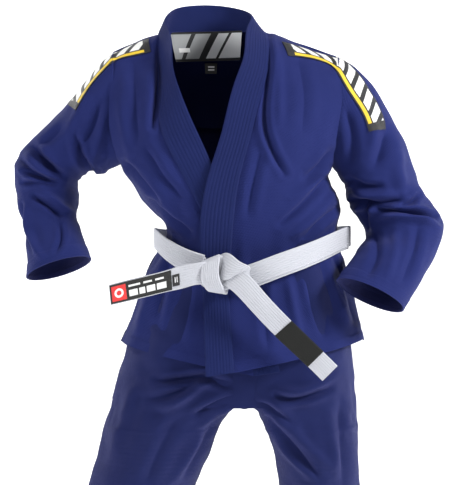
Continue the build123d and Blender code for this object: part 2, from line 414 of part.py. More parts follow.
with BuildPart() as yoke_lining:
    loft([cloth_section(r, -CLOTH - 0.4 - LIGHT_CLOTH, -CLOTH - 0.4) for r in BACK[2:6]], ruled=True)
save(yoke_lining, "yoke_lining")

with BuildPart() as neck_label:
    loft([cloth_section(r, -TAPE, 0) for r in (LABEL_TOP, LABEL_BOTTOM)])
save(neck_label, "neck_label")

with BuildPart() as neck_size_tag:
    with Locations((11.1, 73.5, -72.5)):
        Box(24, 1, 20)
    fillet(neck_size_tag.edges().filter_by(Axis.Y), 2)
save(neck_size_tag, "neck_size_tag")


def patch_sections(edges, near, far):
    """Thin rectangles across a patch that lies over the shoulder."""
    top, low = edges
    sections = []
    for i in range(len(top)):
        before, after = max(i - 1, 0), min(i + 1, len(top) - 1)
        sections.append(
            band_section(
                (top[i], low[i]),
                (top[before], low[before]),
                (top[after], low[after]),
                far - near,
                (near + far) / 2,
            )
        )
    return sections


# --------------------------------------------------------------------- sleeves
def sleeve_parts(rings, shoulder, elbow):
    whole = tube(rings, CLOTH)
    run = rings[-4][2]
    with BuildPart() as head:
        add(whole)
        add(drum_y(shoulder, SHOULDER_R - GAP), mode=Mode.INTERSECT)
    with BuildPart() as upper:
        add(whole)
        add(drum_y(shoulder, SHOULDER_R), mode=Mode.SUBTRACT)
        add(beyond(elbow, run, ELBOW_R - GAP, drum_y), mode=Mode.SUBTRACT)
    with BuildPart() as forearm:
        add(whole)
        add(beyond(elbow, run, ELBOW_R, drum_y), mode=Mode.INTERSECT)
    last = rings[-1]
    with BuildPart() as tape:
        add(tube([ring_at(last, 0.6), ring_at(last, 0.6, 11)], CLOTH + 1.2))
    return head, upper, forearm, tape


for side, rings, shoulder, elbow in (
    ("right", SLEEVE_RIGHT, SHOULDER_RIGHT, ELBOW_RIGHT),
    ("left", SLEEVE_LEFT, SHOULDER_LEFT, ELBOW_LEFT),
):
    head, upper, forearm, tape = sleeve_parts(rings, shoulder, elbow)
    save(head, f"sleeve_{side}_head")
    save(upper, f"sleeve_{side}_upper")
    save(forearm, f"sleeve_{side}_forearm")
    save(tape, f"cuff_tape_{side}")

for side, edges, way in (("right", PATCH_RIGHT, 1), ("left", PATCH_LEFT, -1)):
    with BuildPart() as shoulder_patch:
        loft(patch_sections(edges, way * 4.0, way * (4.0 + TAPE)))
    save(shoulder_patch, f"shoulder_patch_{side}")

# ------------------------------------------------------------------------ belt
with BuildPart() as belt_front_right:
    loft(band_sections(BELT_FRONT_RIGHT, BELT_THICK))
save(belt_front_right, "belt_front_right")

with BuildPart() as belt_front_left:
    loft(band_sections(BELT_FRONT_LEFT, BELT_THICK))
save(belt_front_left, "belt_front_left")

with BuildPart() as belt_back:
    loft(band_sections(BELT_BACK, BELT_THICK))
save(belt_back, "belt_back")

# The knot: a folded block of belt with one wrap down its middle.
with BuildPart() as belt_knot:
    with BuildSketch(Plane(origin=(KNOT[0], KNOT[1] + 12, KNOT[2]), x_dir=(1, 0, 0), z_dir=(0, -1, 0))):
        with BuildLine():
            Polyline((-38, 16), (-20, 30), (10, 34), (42, 12), (40, -14), (14, -34), (-14, -36), (-38, -18), close=True)
        make_face()
        fillet(vertices(), 7)
    extrude(amount=18)
    fillet(faces().sort_by(Axis.Y)[0].edges(), 5)
save(belt_knot, "belt_knot")

with BuildPart() as belt_knot_wrap:
    with BuildSketch(Plane(origin=(KNOT[0] - 22, KNOT[1], KNOT[2]), x_dir=(0, 1, 0), z_dir=(1, 0, 0))):
        RectangleRounded(36, 88, 9)
        RectangleRounded(28, 80, 6, mode=Mode.SUBTRACT)
        with Locations((16, 0)):
            Rectangle(26, 96, mode=Mode.SUBTRACT)
    extrude(amount=38)
    add(belt_knot.part, mode=Mode.SUBTRACT)
save(belt_knot_wrap, "belt_knot_wrap")


def strap_plane(start, end):
    """Plane at a strap's start, its X along the strap, facing the front."""
    return Plane(origin=start, x_dir=tuple(end[i] - start[i] for i in range(3)), z_dir=(0, -1, 0))


LEFT_PLANE = strap_plane(TAIL_LEFT_FROM, TAIL_LEFT_TO)
LEFT_LENGTH = math.dist(TAIL_LEFT_FROM, TAIL_LEFT_TO)
RIGHT_PLANE = strap_plane(TAIL_RIGHT_FROM, TAIL_RIGHT_TO)
RIGHT_LENGTH = math.dist(TAIL_RIGHT_FROM, TAIL_RIGHT_TO)

# Straps start past the knot, outside its corner as they swing.
TAIL_START = 22.0

with BuildPart() as belt_tail_left:
    with BuildSketch(LEFT_PLANE):
        with Locations(((TAIL_START + LEFT_LENGTH) / 2, 0)):
            RectangleRounded(LEFT_LENGTH - TAIL_START, BELT_WIDTH - 2, 1.5)
    extrude(amount=BELT_THICK)
save(belt_tail_left, "belt_tail_left")

with BuildPart() as belt_label:
    with BuildSketch(LEFT_PLANE.offset(BELT_THICK)):
        with Locations((LEFT_LENGTH - 62, 0)):
            RectangleRounded(116, BELT_WIDTH - 3, 1.5)
    extrude(amount=1.2)
save(belt_label, "belt_label")

with BuildPart() as belt_size_tag:
    with BuildSketch(LEFT_PLANE.offset(BELT_THICK)):
        with Locations((LEFT_LENGTH + 7, -1)):
            RectangleRounded(18, 24, 1.5)
    extrude(amount=-1.2)
    add(belt_tail_left.part, mode=Mode.SUBTRACT)
save(belt_size_tag, "belt_size_tag")

with BuildPart() as belt_tail_right:
    with BuildSketch(RIGHT_PLANE):
        with Locations(((TAIL_START + RIGHT_LENGTH) / 2, 0)):
            RectangleRounded(RIGHT_LENGTH - TAIL_START, BELT_WIDTH - 2, 1.5)
    extrude(amount=BELT_THICK)
save(belt_tail_right, "belt_tail_right")

with BuildPart() as belt_rank_bar:
    with BuildSketch(RIGHT_PLANE.offset(BELT_THICK)):
        with Locations((RIGHT_LENGTH - 38 - 46, 0)):
            RectangleRounded(92, BELT_WIDTH - 1, 1.0)
    extrude(amount=1.0)
save(belt_rank_bar, "belt_rank_bar")

# -------------------------------------------------------------------- trousers
with BuildPart() as trousers_seat:
    add(tube([seat_ring(r) for r in SEAT], LIGHT_CLOTH))
save(trousers_seat, "trousers_seat")

with BuildPart() as trousers_waistband:
    top = seat_ring(SEAT[0])
    add(tube([ring_at(top, 0.6), ring_at(top, -2.4, -38)], 3.6))
save(trousers_waistband, "trousers_waistband")

with BuildPart() as trousers_crotch_gusset:
    with BuildSketch(Plane(origin=(74.0, 0, SEAT[-1][2] - 3))):
        with BuildLine():
            ThreePointArc((-3, -112), (-24, 0), (-3, 112))
            ThreePointArc((3, 112), (24, 0), (3, -112))
            Line((-3, 112), (3, 112))
            Line((-3, -112), (3, -112))
        make_face()
    extrude(amount=LIGHT_CLOTH)
save(trousers_crotch_gusset, "trousers_crotch_gusset")


def leg_parts(rings, knee):
    whole = tube(rings, LIGHT_CLOTH)
    with BuildPart() as cover:
        add(tube([ring_at(r, 0.3 + LIGHT_CLOTH) for r in rings[2:7]], LIGHT_CLOTH))
        with Locations((knee[0], 60, knee[2])):
            Box(700, 150, 1200, mode=Mode.SUBTRACT)
    with BuildPart() as top:
        add(whole)
        add(drum_x(HIP, HIP_R - GAP), mode=Mode.INTERSECT)
    with BuildPart() as thigh:
        add(whole)
        add(drum_x(HIP, HIP_R), mode=Mode.SUBTRACT)
        add(beyond(knee, (0, 0, -1), KNEE_R - GAP, drum_x), mode=Mode.SUBTRACT)
    with BuildPart() as shin:
        add(whole)
        add(beyond(knee, (0, 0, -1), KNEE_R, drum_x), mode=Mode.INTERSECT)
    with BuildPart() as patch:
        add(cover.part)
        add(drum_x(HIP, HIP_R + 4), mode=Mode.SUBTRACT)
        add(beyond(knee, (0, 0, -1), 20, drum_x), mode=Mode.SUBTRACT)
    last = rings[-1]
    with BuildPart() as hem:
        add(tube([ring_at(last, 0.5), ring_at(last, 0.5, 30)], 3.1))
    return top, thigh, shin, patch, hem


for side, rings, knee in (("right", LEG_RIGHT, KNEE_RIGHT), ("left", LEG_LEFT, KNEE_LEFT)):
    top, thigh, shin, patch, hem = leg_parts(rings, knee)
    save(top, f"trousers_{side}_top")
    save(thigh, f"trousers_{side}_thigh")
    save(shin, f"trousers_{side}_shin")
    save(patch, f"knee_patch_{side}")
    save(hem, f"ankle_hem_{side}")
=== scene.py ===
import math

import bpy
import numpy as np
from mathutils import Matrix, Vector
from mathutils.bvhtree import BVHTree


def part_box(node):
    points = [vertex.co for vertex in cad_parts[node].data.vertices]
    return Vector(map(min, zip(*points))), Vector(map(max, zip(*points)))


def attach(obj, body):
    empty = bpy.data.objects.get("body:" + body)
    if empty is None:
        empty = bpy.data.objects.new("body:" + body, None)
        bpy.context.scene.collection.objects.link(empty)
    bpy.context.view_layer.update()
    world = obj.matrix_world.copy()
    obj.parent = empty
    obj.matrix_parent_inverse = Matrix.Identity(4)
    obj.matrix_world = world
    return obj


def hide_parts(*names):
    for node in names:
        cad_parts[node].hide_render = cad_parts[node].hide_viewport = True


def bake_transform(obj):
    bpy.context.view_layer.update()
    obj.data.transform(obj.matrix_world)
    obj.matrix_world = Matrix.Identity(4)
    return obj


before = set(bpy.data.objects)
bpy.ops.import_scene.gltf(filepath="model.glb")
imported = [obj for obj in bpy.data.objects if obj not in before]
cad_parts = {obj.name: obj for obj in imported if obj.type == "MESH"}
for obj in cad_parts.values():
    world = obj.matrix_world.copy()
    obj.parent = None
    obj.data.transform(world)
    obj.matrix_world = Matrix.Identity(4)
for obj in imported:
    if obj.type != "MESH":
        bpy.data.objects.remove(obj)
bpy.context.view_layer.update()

# Control lines in millimetres, in the row's frame.
FRONT_LEFT = [
    [(108.1, 25.0, -1.3), (131.1, 24.4, -9.2), (154.1, 23.3, -17.0), (177.1, 21.7, -24.9), (200.2, 19.8, -32.8), (223.2, 17.5, -40.6), (246.2, 15.0, -48.5)],
    [(114.9, -20.0, -13.1), (137.3, -23.4, -22.1), (159.8, -26.4, -31.1), (182.3, -28.3, -40.1), (204.7, -28.9, -49.2), (227.2, -28.2, -58.2), (249.7, -27.0, -67.2)],
    [(116.9, -58.0, -41.2), (139.8, -63.0, -51.1), (162.6, -66.7, -60.9), (185.4, -68.0, -70.8), (208.2, -66.7, -80.7), (231.0, -63.0, -90.6), (253.8, -58.0, -100.5)],
    [(111.8, -86.0, -85.4), (137.0, -92.5, -94.5), (162.0, -96.0, -103.5), (186.4, -95.3, -112.4), (210.2, -90.4, -121.0), (233.1, -82.2, -129.3), (255.0, -72.0, -137.3)],
    [(96.7, -113.0, -141.9), (126.1, -119.7, -150.4), (154.7, -120.5, -158.6), (181.7, -114.5, -166.4), (206.6, -103.0, -173.6), (228.8, -88.4, -180.0), (247.9, -70.0, -185.5)],
    [(81.9, -129.0, -198.2), (116.7, -132.1, -208.9), (149.9, -125.8, -219.2), (179.8, -111.0, -228.4), (205.2, -90.8, -236.2), (225.0, -68.5, -242.4), (238.7, -38.0, -246.6)],
    [(67.3, -136.0, -250.9), (108.7, -134.9, -256.9), (147.5, -122.5, -262.6), (181.1, -100.2, -267.4), (207.6, -71.2, -271.3), (225.3, -39.1, -273.9), (233.2, 0.0, -275.0)],
    [(56.3, -134.0, -311.6), (106.1, -132.2, -312.0), (152.5, -119.4, -312.4), (192.4, -96.5, -312.8), (223.0, -66.1, -313.1), (242.2, -31.4, -313.2), (248.8, 5.0, -313.3)],
    [(50.9, -129.0, -363.4), (104.1, -125.9, -358.3), (153.7, -113.0, -353.6), (196.3, -91.3, -349.5), (228.9, -62.8, -346.4), (249.5, -29.9, -344.4), (256.5, 5.0, -343.7)],
    [(47.2, -125.0, -408.1), (99.9, -120.6, -397.9), (149.1, -107.6, -388.3), (191.2, -86.9, -380.1), (223.6, -60.0, -373.8), (244.0, -28.6, -369.9), (250.9, 5.0, -368.5)],
    [(45.4, -124.0, -450.8), (99.1, -119.6, -436.9), (149.2, -106.7, -424.0), (192.2, -86.2, -412.8), (225.1, -59.5, -404.3), (245.9, -28.4, -399.0), (252.9, 5.0, -397.1)],
    [(43.5, -127.0, -483.8), (99.7, -122.7, -469.2), (152.0, -110.0, -455.5), (196.9, -89.8, -443.8), (231.4, -63.5, -434.8), (253.0, -32.9, -429.2), (260.4, 0.0, -427.2)],
    [(47.2, -143.0, -554.2), (109.3, -138.3, -546.9), (167.3, -124.4, -540.2), (217.0, -102.3, -534.4), (255.2, -73.5, -530.0), (279.1, -40.0, -527.2), (287.3, -4.0, -526.3)],
    [(52.7, -160.0, -627.7), (116.9, -154.8, -615.7), (176.7, -139.6, -604.5), (228.1, -115.5, -594.9), (267.5, -84.0, -587.6), (292.3, -47.3, -582.9), (300.7, -8.0, -581.4)],
]
FRONT_RIGHT = [
    [(-79.5, 25.0, -3.2), (-95.2, 24.4, -9.5), (-111.0, 23.3, -15.8), (-126.7, 21.7, -22.1), (-142.5, 19.8, -28.4), (-158.2, 17.5, -34.7), (-173.9, 15.0, -41.0)],
    [(-84.1, -12.0, -16.7), (-99.0, -15.4, -24.2), (-114.0, -18.9, -31.7), (-128.9, -21.9, -39.2), (-143.8, -24.2, -46.6), (-158.7, -25.7, -54.1), (-173.7, -27.0, -61.6)],
    [(-83.6, -32.0, -46.7), (-99.0, -40.4, -55.0), (-114.4, -48.3, -63.4), (-129.8, -53.9, -71.7), (-145.2, -56.7, -80.1), (-160.6, -56.9, -88.4), (-176.0, -56.0, -96.8)],
    [(-82.0, -54.0, -80.1), (-97.9, -65.0, -89.3), (-113.8, -74.4, -98.5), (-129.6, -79.9, -107.8), (-145.5, -80.7, -117.0), (-161.3, -77.4, -126.2), (-177.2, -72.0, -135.4)],
    [(-82.2, -82.0, -124.1), (-99.0, -91.8, -134.3), (-115.6, -97.7, -144.3), (-131.8, -98.0, -154.2), (-147.6, -92.4, -163.7), (-162.9, -82.4, -173.0), (-177.5, -70.0, -181.8)],
    [(-75.9, -114.0, -184.0), (-93.6, -117.4, -197.8), (-110.5, -112.8, -210.9), (-126.0, -100.7, -222.9), (-139.5, -83.6, -233.4), (-150.6, -64.2, -242.0), (-158.9, -38.0, -248.5)],
    [(-57.3, -128.0, -229.3), (-78.9, -127.2, -241.2), (-99.1, -115.6, -252.3), (-116.7, -94.6, -262.0), (-130.6, -67.2, -269.6), (-139.8, -36.9, -274.6), (-143.9, 0.0, -276.9)],
    [(-33.5, -130.0, -276.9), (-55.8, -128.3, -286.8), (-76.5, -115.9, -296.1), (-94.4, -93.6, -304.0), (-108.1, -64.1, -310.1), (-116.7, -30.4, -313.9), (-119.6, 5.0, -315.2)],
    [(-4.3, -124.0, -334.3), (-26.8, -121.1, -336.8), (-47.7, -108.7, -339.0), (-65.7, -87.8, -341.0), (-79.6, -60.3, -342.5), (-88.2, -28.6, -343.4), (-91.2, 5.0, -343.7)],
    [(21.4, -118.0, -386.5), (-3.1, -113.8, -382.9), (-25.9, -101.5, -379.4), (-45.5, -82.0, -376.5), (-60.5, -56.5, -374.2), (-70.0, -26.8, -372.8), (-73.2, 5.0, -372.3)],
    [(45.4, -116.0, -433.0), (14.4, -111.9, -423.7), (-14.4, -99.8, -415.1), (-39.2, -80.6, -407.7), (-58.2, -55.5, -401.9), (-70.2, -26.3, -398.4), (-74.2, 5.0, -397.1)],
    [(62.0, -119.0, -492.1), (21.9, -114.9, -474.4), (-15.6, -103.1, -457.8), (-47.7, -84.1, -443.5), (-72.4, -59.5, -432.6), (-87.9, -30.8, -425.8), (-93.2, 0.0, -423.4)],
    [(76.7, -134.0, -560.9), (23.8, -129.6, -548.0), (-25.4, -116.6, -535.9), (-67.7, -95.9, -525.6), (-100.2, -69.0, -517.6), (-120.6, -37.6, -512.6), (-127.5, -4.0, -510.9)],
    [(91.3, -151.0, -634.6), (26.8, -146.1, -622.8), (-33.4, -131.8, -611.8), (-85.1, -109.1, -602.4), (-124.7, -79.5, -595.1), (-149.6, -45.0, -590.6), (-158.1, -8.0, -589.0)],
]
BACK = [
    [(-175.0, 17.0, -41.9), (-145.7, 19.0, -29.6), (-111.7, 22.0, -16.4), (-79.7, 30.0, -5.0), (-59.4, 54.0, -1.9), (-32.9, 70.0, -0.7), (-0.4, 76.0, -0.6), (36.1, 70.0, -0.7), (68.6, 56.0, -1.8), (104.4, 30.0, -3.1), (149.8, 22.0, -16.4), (199.0, 19.0, -31.5), (248.2, 17.0, -49.4)],
    [(-177.0, 36.0, -61.7), (-155.5, 55.7, -62.0), (-126.8, 67.8, -62.4), (-91.8, 77.8, -62.9), (-51.6, 85.5, -63.4), (-7.7, 90.3, -64.0), (38.0, 92.0, -64.6), (83.8, 90.3, -65.2), (127.6, 85.5, -65.8), (167.8, 77.8, -66.3), (202.8, 67.8, -66.8), (231.5, 55.7, -67.1), (253.1, 36.0, -67.4)],
    [(-182.2, 58.0, -98.0), (-157.1, 74.6, -98.3), (-126.1, 84.6, -98.5), (-89.9, 92.8, -98.8), (-49.5, 98.9, -99.2), (-6.0, 102.7, -99.6), (39.0, 104.0, -99.9), (84.0, 102.7, -100.3), (127.4, 98.9, -100.7), (167.9, 92.8, -101.1), (204.1, 84.6, -101.4), (235.0, 74.6, -101.6), (260.1, 58.0, -101.9)],
    [(-184.9, 68.0, -138.4), (-159.4, 83.8, -138.5), (-128.1, 93.4, -138.6), (-91.5, 101.1, -138.8), (-50.6, 107.0, -138.9), (-6.6, 110.7, -139.1), (38.9, 112.0, -139.3), (84.5, 110.7, -139.5), (128.4, 106.9, -139.7), (169.3, 100.9, -139.9), (205.9, 92.7, -140.0), (237.3, 82.6, -140.2), (262.7, 66.0, -140.3)],
    [(-184.8, 62.0, -186.2), (-165.6, 81.0, -186.3), (-137.8, 93.0, -186.6), (-102.2, 103.2, -186.9), (-60.2, 111.2, -187.2), (-13.7, 116.3, -187.6), (35.1, 118.0, -188.1), (83.9, 116.2, -188.5), (130.3, 111.1, -188.9), (172.3, 102.9, -189.2), (207.9, 92.3, -189.5), (235.8, 79.8, -189.8), (254.9, 60.0, -189.9)],
    [(-162.4, 32.0, -251.9), (-152.9, 58.0, -251.9), (-131.3, 78.5, -251.8), (-99.0, 96.3, -251.6), (-57.9, 110.2, -251.4), (-10.6, 119.0, -251.2), (39.9, 122.0, -251.0), (90.4, 119.0, -250.7), (137.7, 110.2, -250.5), (178.8, 96.3, -250.3), (211.1, 78.5, -250.2), (232.7, 58.0, -250.1), (242.2, 32.0, -250.0)],
    [(-144.3, 9.0, -277.4), (-137.9, 38.0, -277.4), (-119.0, 65.0, -277.3), (-89.0, 88.2, -277.1), (-49.8, 106.0, -276.9), (-4.3, 117.2, -276.7), (44.6, 121.0, -276.4), (93.5, 117.2, -276.2), (139.1, 106.0, -276.0), (178.3, 88.2, -275.8), (208.3, 65.0, -275.6), (227.2, 38.0, -275.5), (233.6, 9.0, -275.5)],
    [(-119.8, 9.0, -315.5), (-113.5, 37.0, -315.4), (-95.1, 63.0, -315.3), (-65.8, 85.4, -315.2), (-27.6, 102.5, -315.0), (16.9, 113.3, -314.7), (64.6, 117.0, -314.5), (112.3, 113.3, -314.3), (156.8, 102.5, -314.0), (195.0, 85.4, -313.8), (224.3, 63.0, -313.7), (242.7, 37.0, -313.6), (249.0, 9.0, -313.5)],
    [(-91.3, 9.0, -344.0), (-85.4, 35.7, -344.0), (-68.0, 60.5, -344.0), (-40.4, 81.8, -344.0), (-4.3, 98.2, -344.0), (37.7, 108.5, -344.0), (82.7, 112.0, -344.0), (127.7, 108.5, -344.0), (169.7, 98.2, -344.0), (205.7, 81.8, -344.0), (233.4, 60.5, -344.0), (250.8, 35.7, -344.0), (256.7, 9.0, -344.0)],
    [(-73.3, 9.0, -372.7), (-67.8, 34.4, -372.6), (-51.6, 58.0, -372.4), (-25.8, 78.3, -372.1), (7.8, 93.9, -371.7), (46.9, 103.7, -371.2), (88.9, 107.0, -370.7), (130.9, 103.7, -370.3), (170.0, 93.9, -369.8), (203.6, 78.3, -369.4), (229.4, 58.0, -369.1), (245.6, 34.4, -368.9), (251.1, 9.0, -368.8)],
    [(-74.3, 9.0, -397.5), (-68.8, 34.1, -397.5), (-52.4, 57.5, -397.5), (-26.4, 77.6, -397.5), (7.5, 93.0, -397.5), (47.0, 102.7, -397.5), (89.4, 106.0, -397.5), (131.8, 102.7, -397.5), (171.3, 93.0, -397.5), (205.2, 77.6, -397.5), (231.2, 57.5, -397.5), (247.6, 34.1, -397.5), (253.2, 9.0, -397.5)],
    [(-93.3, 5.0, -423.9), (-87.3, 33.0, -424.0), (-69.6, 59.0, -424.1), (-41.5, 81.4, -424.4), (-4.8, 98.5, -424.8), (37.9, 109.3, -425.3), (83.7, 113.0, -425.8), (129.5, 109.3, -426.3), (172.2, 98.5, -426.8), (208.9, 81.4, -427.2), (237.0, 59.0, -427.5), (254.7, 33.0, -427.6), (260.7, 5.0, -427.7)],
    [(-127.8, 2.0, -511.6), (-120.7, 35.1, -511.9), (-99.9, 66.0, -512.7), (-66.9, 92.5, -513.9), (-23.9, 112.9, -515.5), (26.2, 125.6, -517.3), (80.0, 130.0, -519.3), (133.7, 125.6, -521.3), (183.8, 112.9, -523.1), (226.9, 92.5, -524.7), (259.9, 66.0, -526.0), (280.6, 35.1, -526.7), (287.7, 2.0, -527.0)],
    [(-160.4, 0.0, -590.1), (-152.5, 36.8, -590.1), (-129.4, 71.0, -590.0), (-92.5, 100.4, -589.8), (-44.5, 123.0, -589.6), (11.4, 137.2, -589.4), (71.4, 142.0, -589.2), (131.4, 137.2, -588.9), (187.3, 123.0, -588.7), (235.3, 100.4, -588.5), (272.1, 71.0, -588.3), (295.3, 36.8, -588.2), (303.2, 0.0, -588.2)],
]
BAND = [
    [(139.1, -151.0, -627.2), (93.1, -153.0, -634.3)],
    [(122.8, -135.0, -555.2), (78.5, -136.0, -560.6)],
    [(106.3, -120.0, -482.7), (63.9, -121.0, -491.9)],
    [(87.8, -120.0, -414.1), (47.2, -118.0, -432.8)],
    [(65.6, -125.0, -358.2), (23.3, -121.0, -386.3)],
    [(39.8, -133.0, -302.4), (-2.4, -128.0, -334.0)],
    [(14.2, -137.0, -247.2), (-31.6, -133.0, -276.7)],
    [(-2.2, -135.0, -208.9), (-55.4, -130.0, -231.1)],
    [(-20.6, -128.0, -168.9), (-74.0, -118.0, -191.2)],
    [(-37.2, -117.0, -129.0), (-81.7, -101.0, -155.0)],
    [(-50.2, -104.0, -92.6), (-82.3, -80.0, -122.3)],
    [(-57.0, -88.0, -59.6), (-82.2, -50.0, -80.1)],
    [(-58.4, -64.0, -28.3), (-83.7, -28.0, -44.8)],
    [(-65.0, -24.0, -1.9), (-84.2, -8.0, -16.7)],
    [(-72.8, 24.0, 21.3), (-82.6, 34.0, -3.1)],
    [(-59.4, 60.0, 39.1), (-67.0, 54.0, -1.9)],
    [(-33.0, 80.0, 47.2), (-34.8, 70.0, -0.7)],
    [(-0.4, 86.0, 49.2), (-0.4, 76.0, -0.6)],
    [(32.2, 80.0, 47.2), (36.1, 70.0, -0.7)],
    [(62.8, 62.0, 41.0), (72.4, 56.0, -1.8)],
    [(85.4, 26.0, 28.9), (102.6, 34.0, -3.1)],
    [(80.2, -14.0, 7.5), (113.2, -8.0, -11.1)],
    [(75.2, -48.0, -20.7), (117.1, -52.0, -39.3)],
    [(71.3, -76.0, -52.3), (113.8, -82.0, -78.0)],
    [(58.2, -98.0, -89.0), (103.3, -103.0, -116.4)],
    [(46.3, -112.0, -127.3), (93.0, -118.0, -154.6)],
    [(30.7, -131.0, -190.8), (80.1, -132.0, -205.4)],
    [(11.5, -140.0, -250.7), (63.6, -139.0, -265.4)],
    [(-3.2, -139.0, -311.2), (54.5, -137.0, -318.7)],
    [(-8.8, -134.0, -363.0), (49.9, -132.0, -366.9)],
    [(-8.9, -131.0, -413.1), (46.3, -129.0, -415.1)],
    [(-3.4, -131.0, -479.7), (43.5, -130.0, -483.5)],
    [(-0.6, -148.0, -553.5), (47.2, -146.0, -551.9)],
    [(2.3, -164.0, -634.5), (52.7, -162.0, -627.4)],
]
SLEEVE_RIGHT = [
    ((-166.0, 0.0, -147.6), (7.1, 0.0, -104.7), (0.0, -66.0, 0.0)),
    ((-192.8, 4.0, -169.3), (9.0, 0.0, -98.3), (0.0, -70.0, 0.0)),
    ((-217.0, 10.0, -190.3), (15.7, 0.0, -81.5), (0.0, -72.0, 0.0)),
    ((-246.9, 16.0, -211.3), (28.1, 0.0, -57.0), (0.0, -72.0, 0.0)),
    ((-277.0, 22.0, -238.1), (44.5, 0.0, -36.2), (0.0, -71.0, 0.0)),
    ((-300.4, 26.0, -269.8), (58.0, 0.0, -21.9), (0.0, -69.0, 0.0)),
    ((-300.4, 22.0, -308.7), (60.0, 0.0, -9.5), (0.0, -67.0, 0.0)),
    ((-300.7, 12.0, -337.6), (57.0, 0.0, -6.7), (0.0, -64.0, 0.0)),
    ((-291.4, 0.0, -366.2), (51.9, 0.6, 5.2), (0.0, -61.6, 7.4)),
    ((-284.1, -22.0, -394.8), (51.9, 0.2, 15.8), (-3.9, -58.3, 13.5)),
    ((-273.8, -56.0, -445.1), (58.5, -8.4, 21.3), (-13.3, -53.3, 15.4)),
]
SLEEVE_LEFT = [
    ((244.0, 0.0, -151.3), (-7.1, 0.0, -100.9), (0.0, -66.0, 0.0)),
    ((264.0, 3.0, -165.5), (-23.2, 0.0, -92.6), (0.0, -69.0, 0.0)),
    ((286.1, 7.0, -190.2), (-37.5, 0.0, -79.5), (0.0, -71.0, 0.0)),
    ((305.5, 11.0, -222.5), (-47.1, 0.0, -60.7), (0.0, -72.0, 0.0)),
    ((323.1, 15.0, -260.6), (-56.8, 0.0, -41.9), (0.0, -72.0, 0.0)),
    ((339.9, 19.0, -307.5), (-65.6, 0.0, -20.0), (0.0, -71.0, 0.0)),
    ((364.8, 17.0, -344.6), (-75.2, 0.0, -5.7), (0.0, -70.0, 0.0)),
    ((379.1, 2.0, -380.7), (-73.1, 0.0, -4.8), (0.0, -67.0, 0.0)),
    ((364.5, -28.0, -413.2), (-68.8, 1.2, 12.6), (0.5, -63.4, 8.4)),
    ((338.6, -62.0, -449.6), (-62.4, 1.9, 25.4), (4.4, -58.9, 15.1)),
    ((307.4, -98.0, -490.8), (-60.4, -4.7, 30.8), (12.9, -53.9, 17.0)),
]
# centre x, y, z, half width along (dx, dz), half depth, squareness at the centre seam
TROUSER_RIGHT = [
    (10.5, -5.0, -389.1, 75.0, 0.0, 93.0, 1.00),
    (4.7, -5.0, -438.7, 78.9, 0.0, 99.0, 1.00),
    (-14.4, -2.0, -511.4, 94.3, 0.0, 110.0, 1.00),
    (-34.5, -1.0, -594.0, 110.7, 0.0, 119.0, 1.00),
    (-45.1, 0.0, -649.8, 119.4, 0.0, 122.0, 1.00),
    (-54.7, 0.0, -690.3, 121.4, -1.9, 122.0, 0.85),
    (-65.3, 2.0, -710.6, 116.7, 1.0, 121.0, 0.55),
    (-76.8, 2.0, -734.8, 111.0, 0.0, 119.0, 0.30),
    (-91.3, 3.0, -781.3, 108.2, 0.0, 115.0, 0.12),
    (-112.6, 4.0, -839.5, 104.5, 0.0, 108.0, 0.00),
    (-132.9, 3.0, -900.8, 99.9, -2.9, 102.0, 0.00),
    (-169.0, 0.0, -1021.0, 91.4, -5.9, 92.0, 0.00),
    (-195.6, 8.0, -1136.9, 84.9, -3.9, 84.0, 0.00),
    (-214.5, 16.0, -1253.3, 78.4, -2.0, 76.0, 0.00),
    (-229.7, 22.0, -1366.4, 71.8, 0.0, 70.0, 0.00),
]
# centre x, y, z, half width along (dx, dz), half depth, squareness at the centre seam
TROUSER_LEFT = [
    (163.4, -5.0, -389.1, -77.9, 0.0, 93.0, 1.00),
    (165.4, -5.0, -438.7, -81.8, 0.0, 99.0, 1.00),
    (174.2, -2.0, -511.4, -94.3, 0.0, 110.0, 1.00),
    (177.3, -1.0, -594.0, -101.1, 0.0, 119.0, 1.00),
    (178.4, 0.0, -649.8, -104.1, 0.0, 122.0, 1.00),
    (182.3, 0.0, -688.4, -102.3, -3.9, 122.0, 0.85),
    (191.0, 2.0, -707.7, -95.6, 0.0, 121.0, 0.55),
    (198.8, 2.0, -734.8, -89.9, 0.0, 119.0, 0.30),
    (208.5, 3.0, -781.3, -82.4, 0.0, 115.0, 0.12),
    (215.4, 4.0, -839.5, -77.7, 0.0, 108.0, 0.00),
    (223.3, 3.0, -897.9, -75.9, 0.0, 102.0, 0.00),
    (238.2, 0.0, -1015.1, -75.1, 0.0, 92.0, 0.00),
    (258.1, 8.0, -1132.9, -71.4, 0.0, 84.0, 0.00),
    (278.9, 16.0, -1251.4, -66.8, 0.0, 76.0, 0.00),
    (291.2, 22.0, -1370.4, -68.9, 0.0, 70.0, 0.00),
]
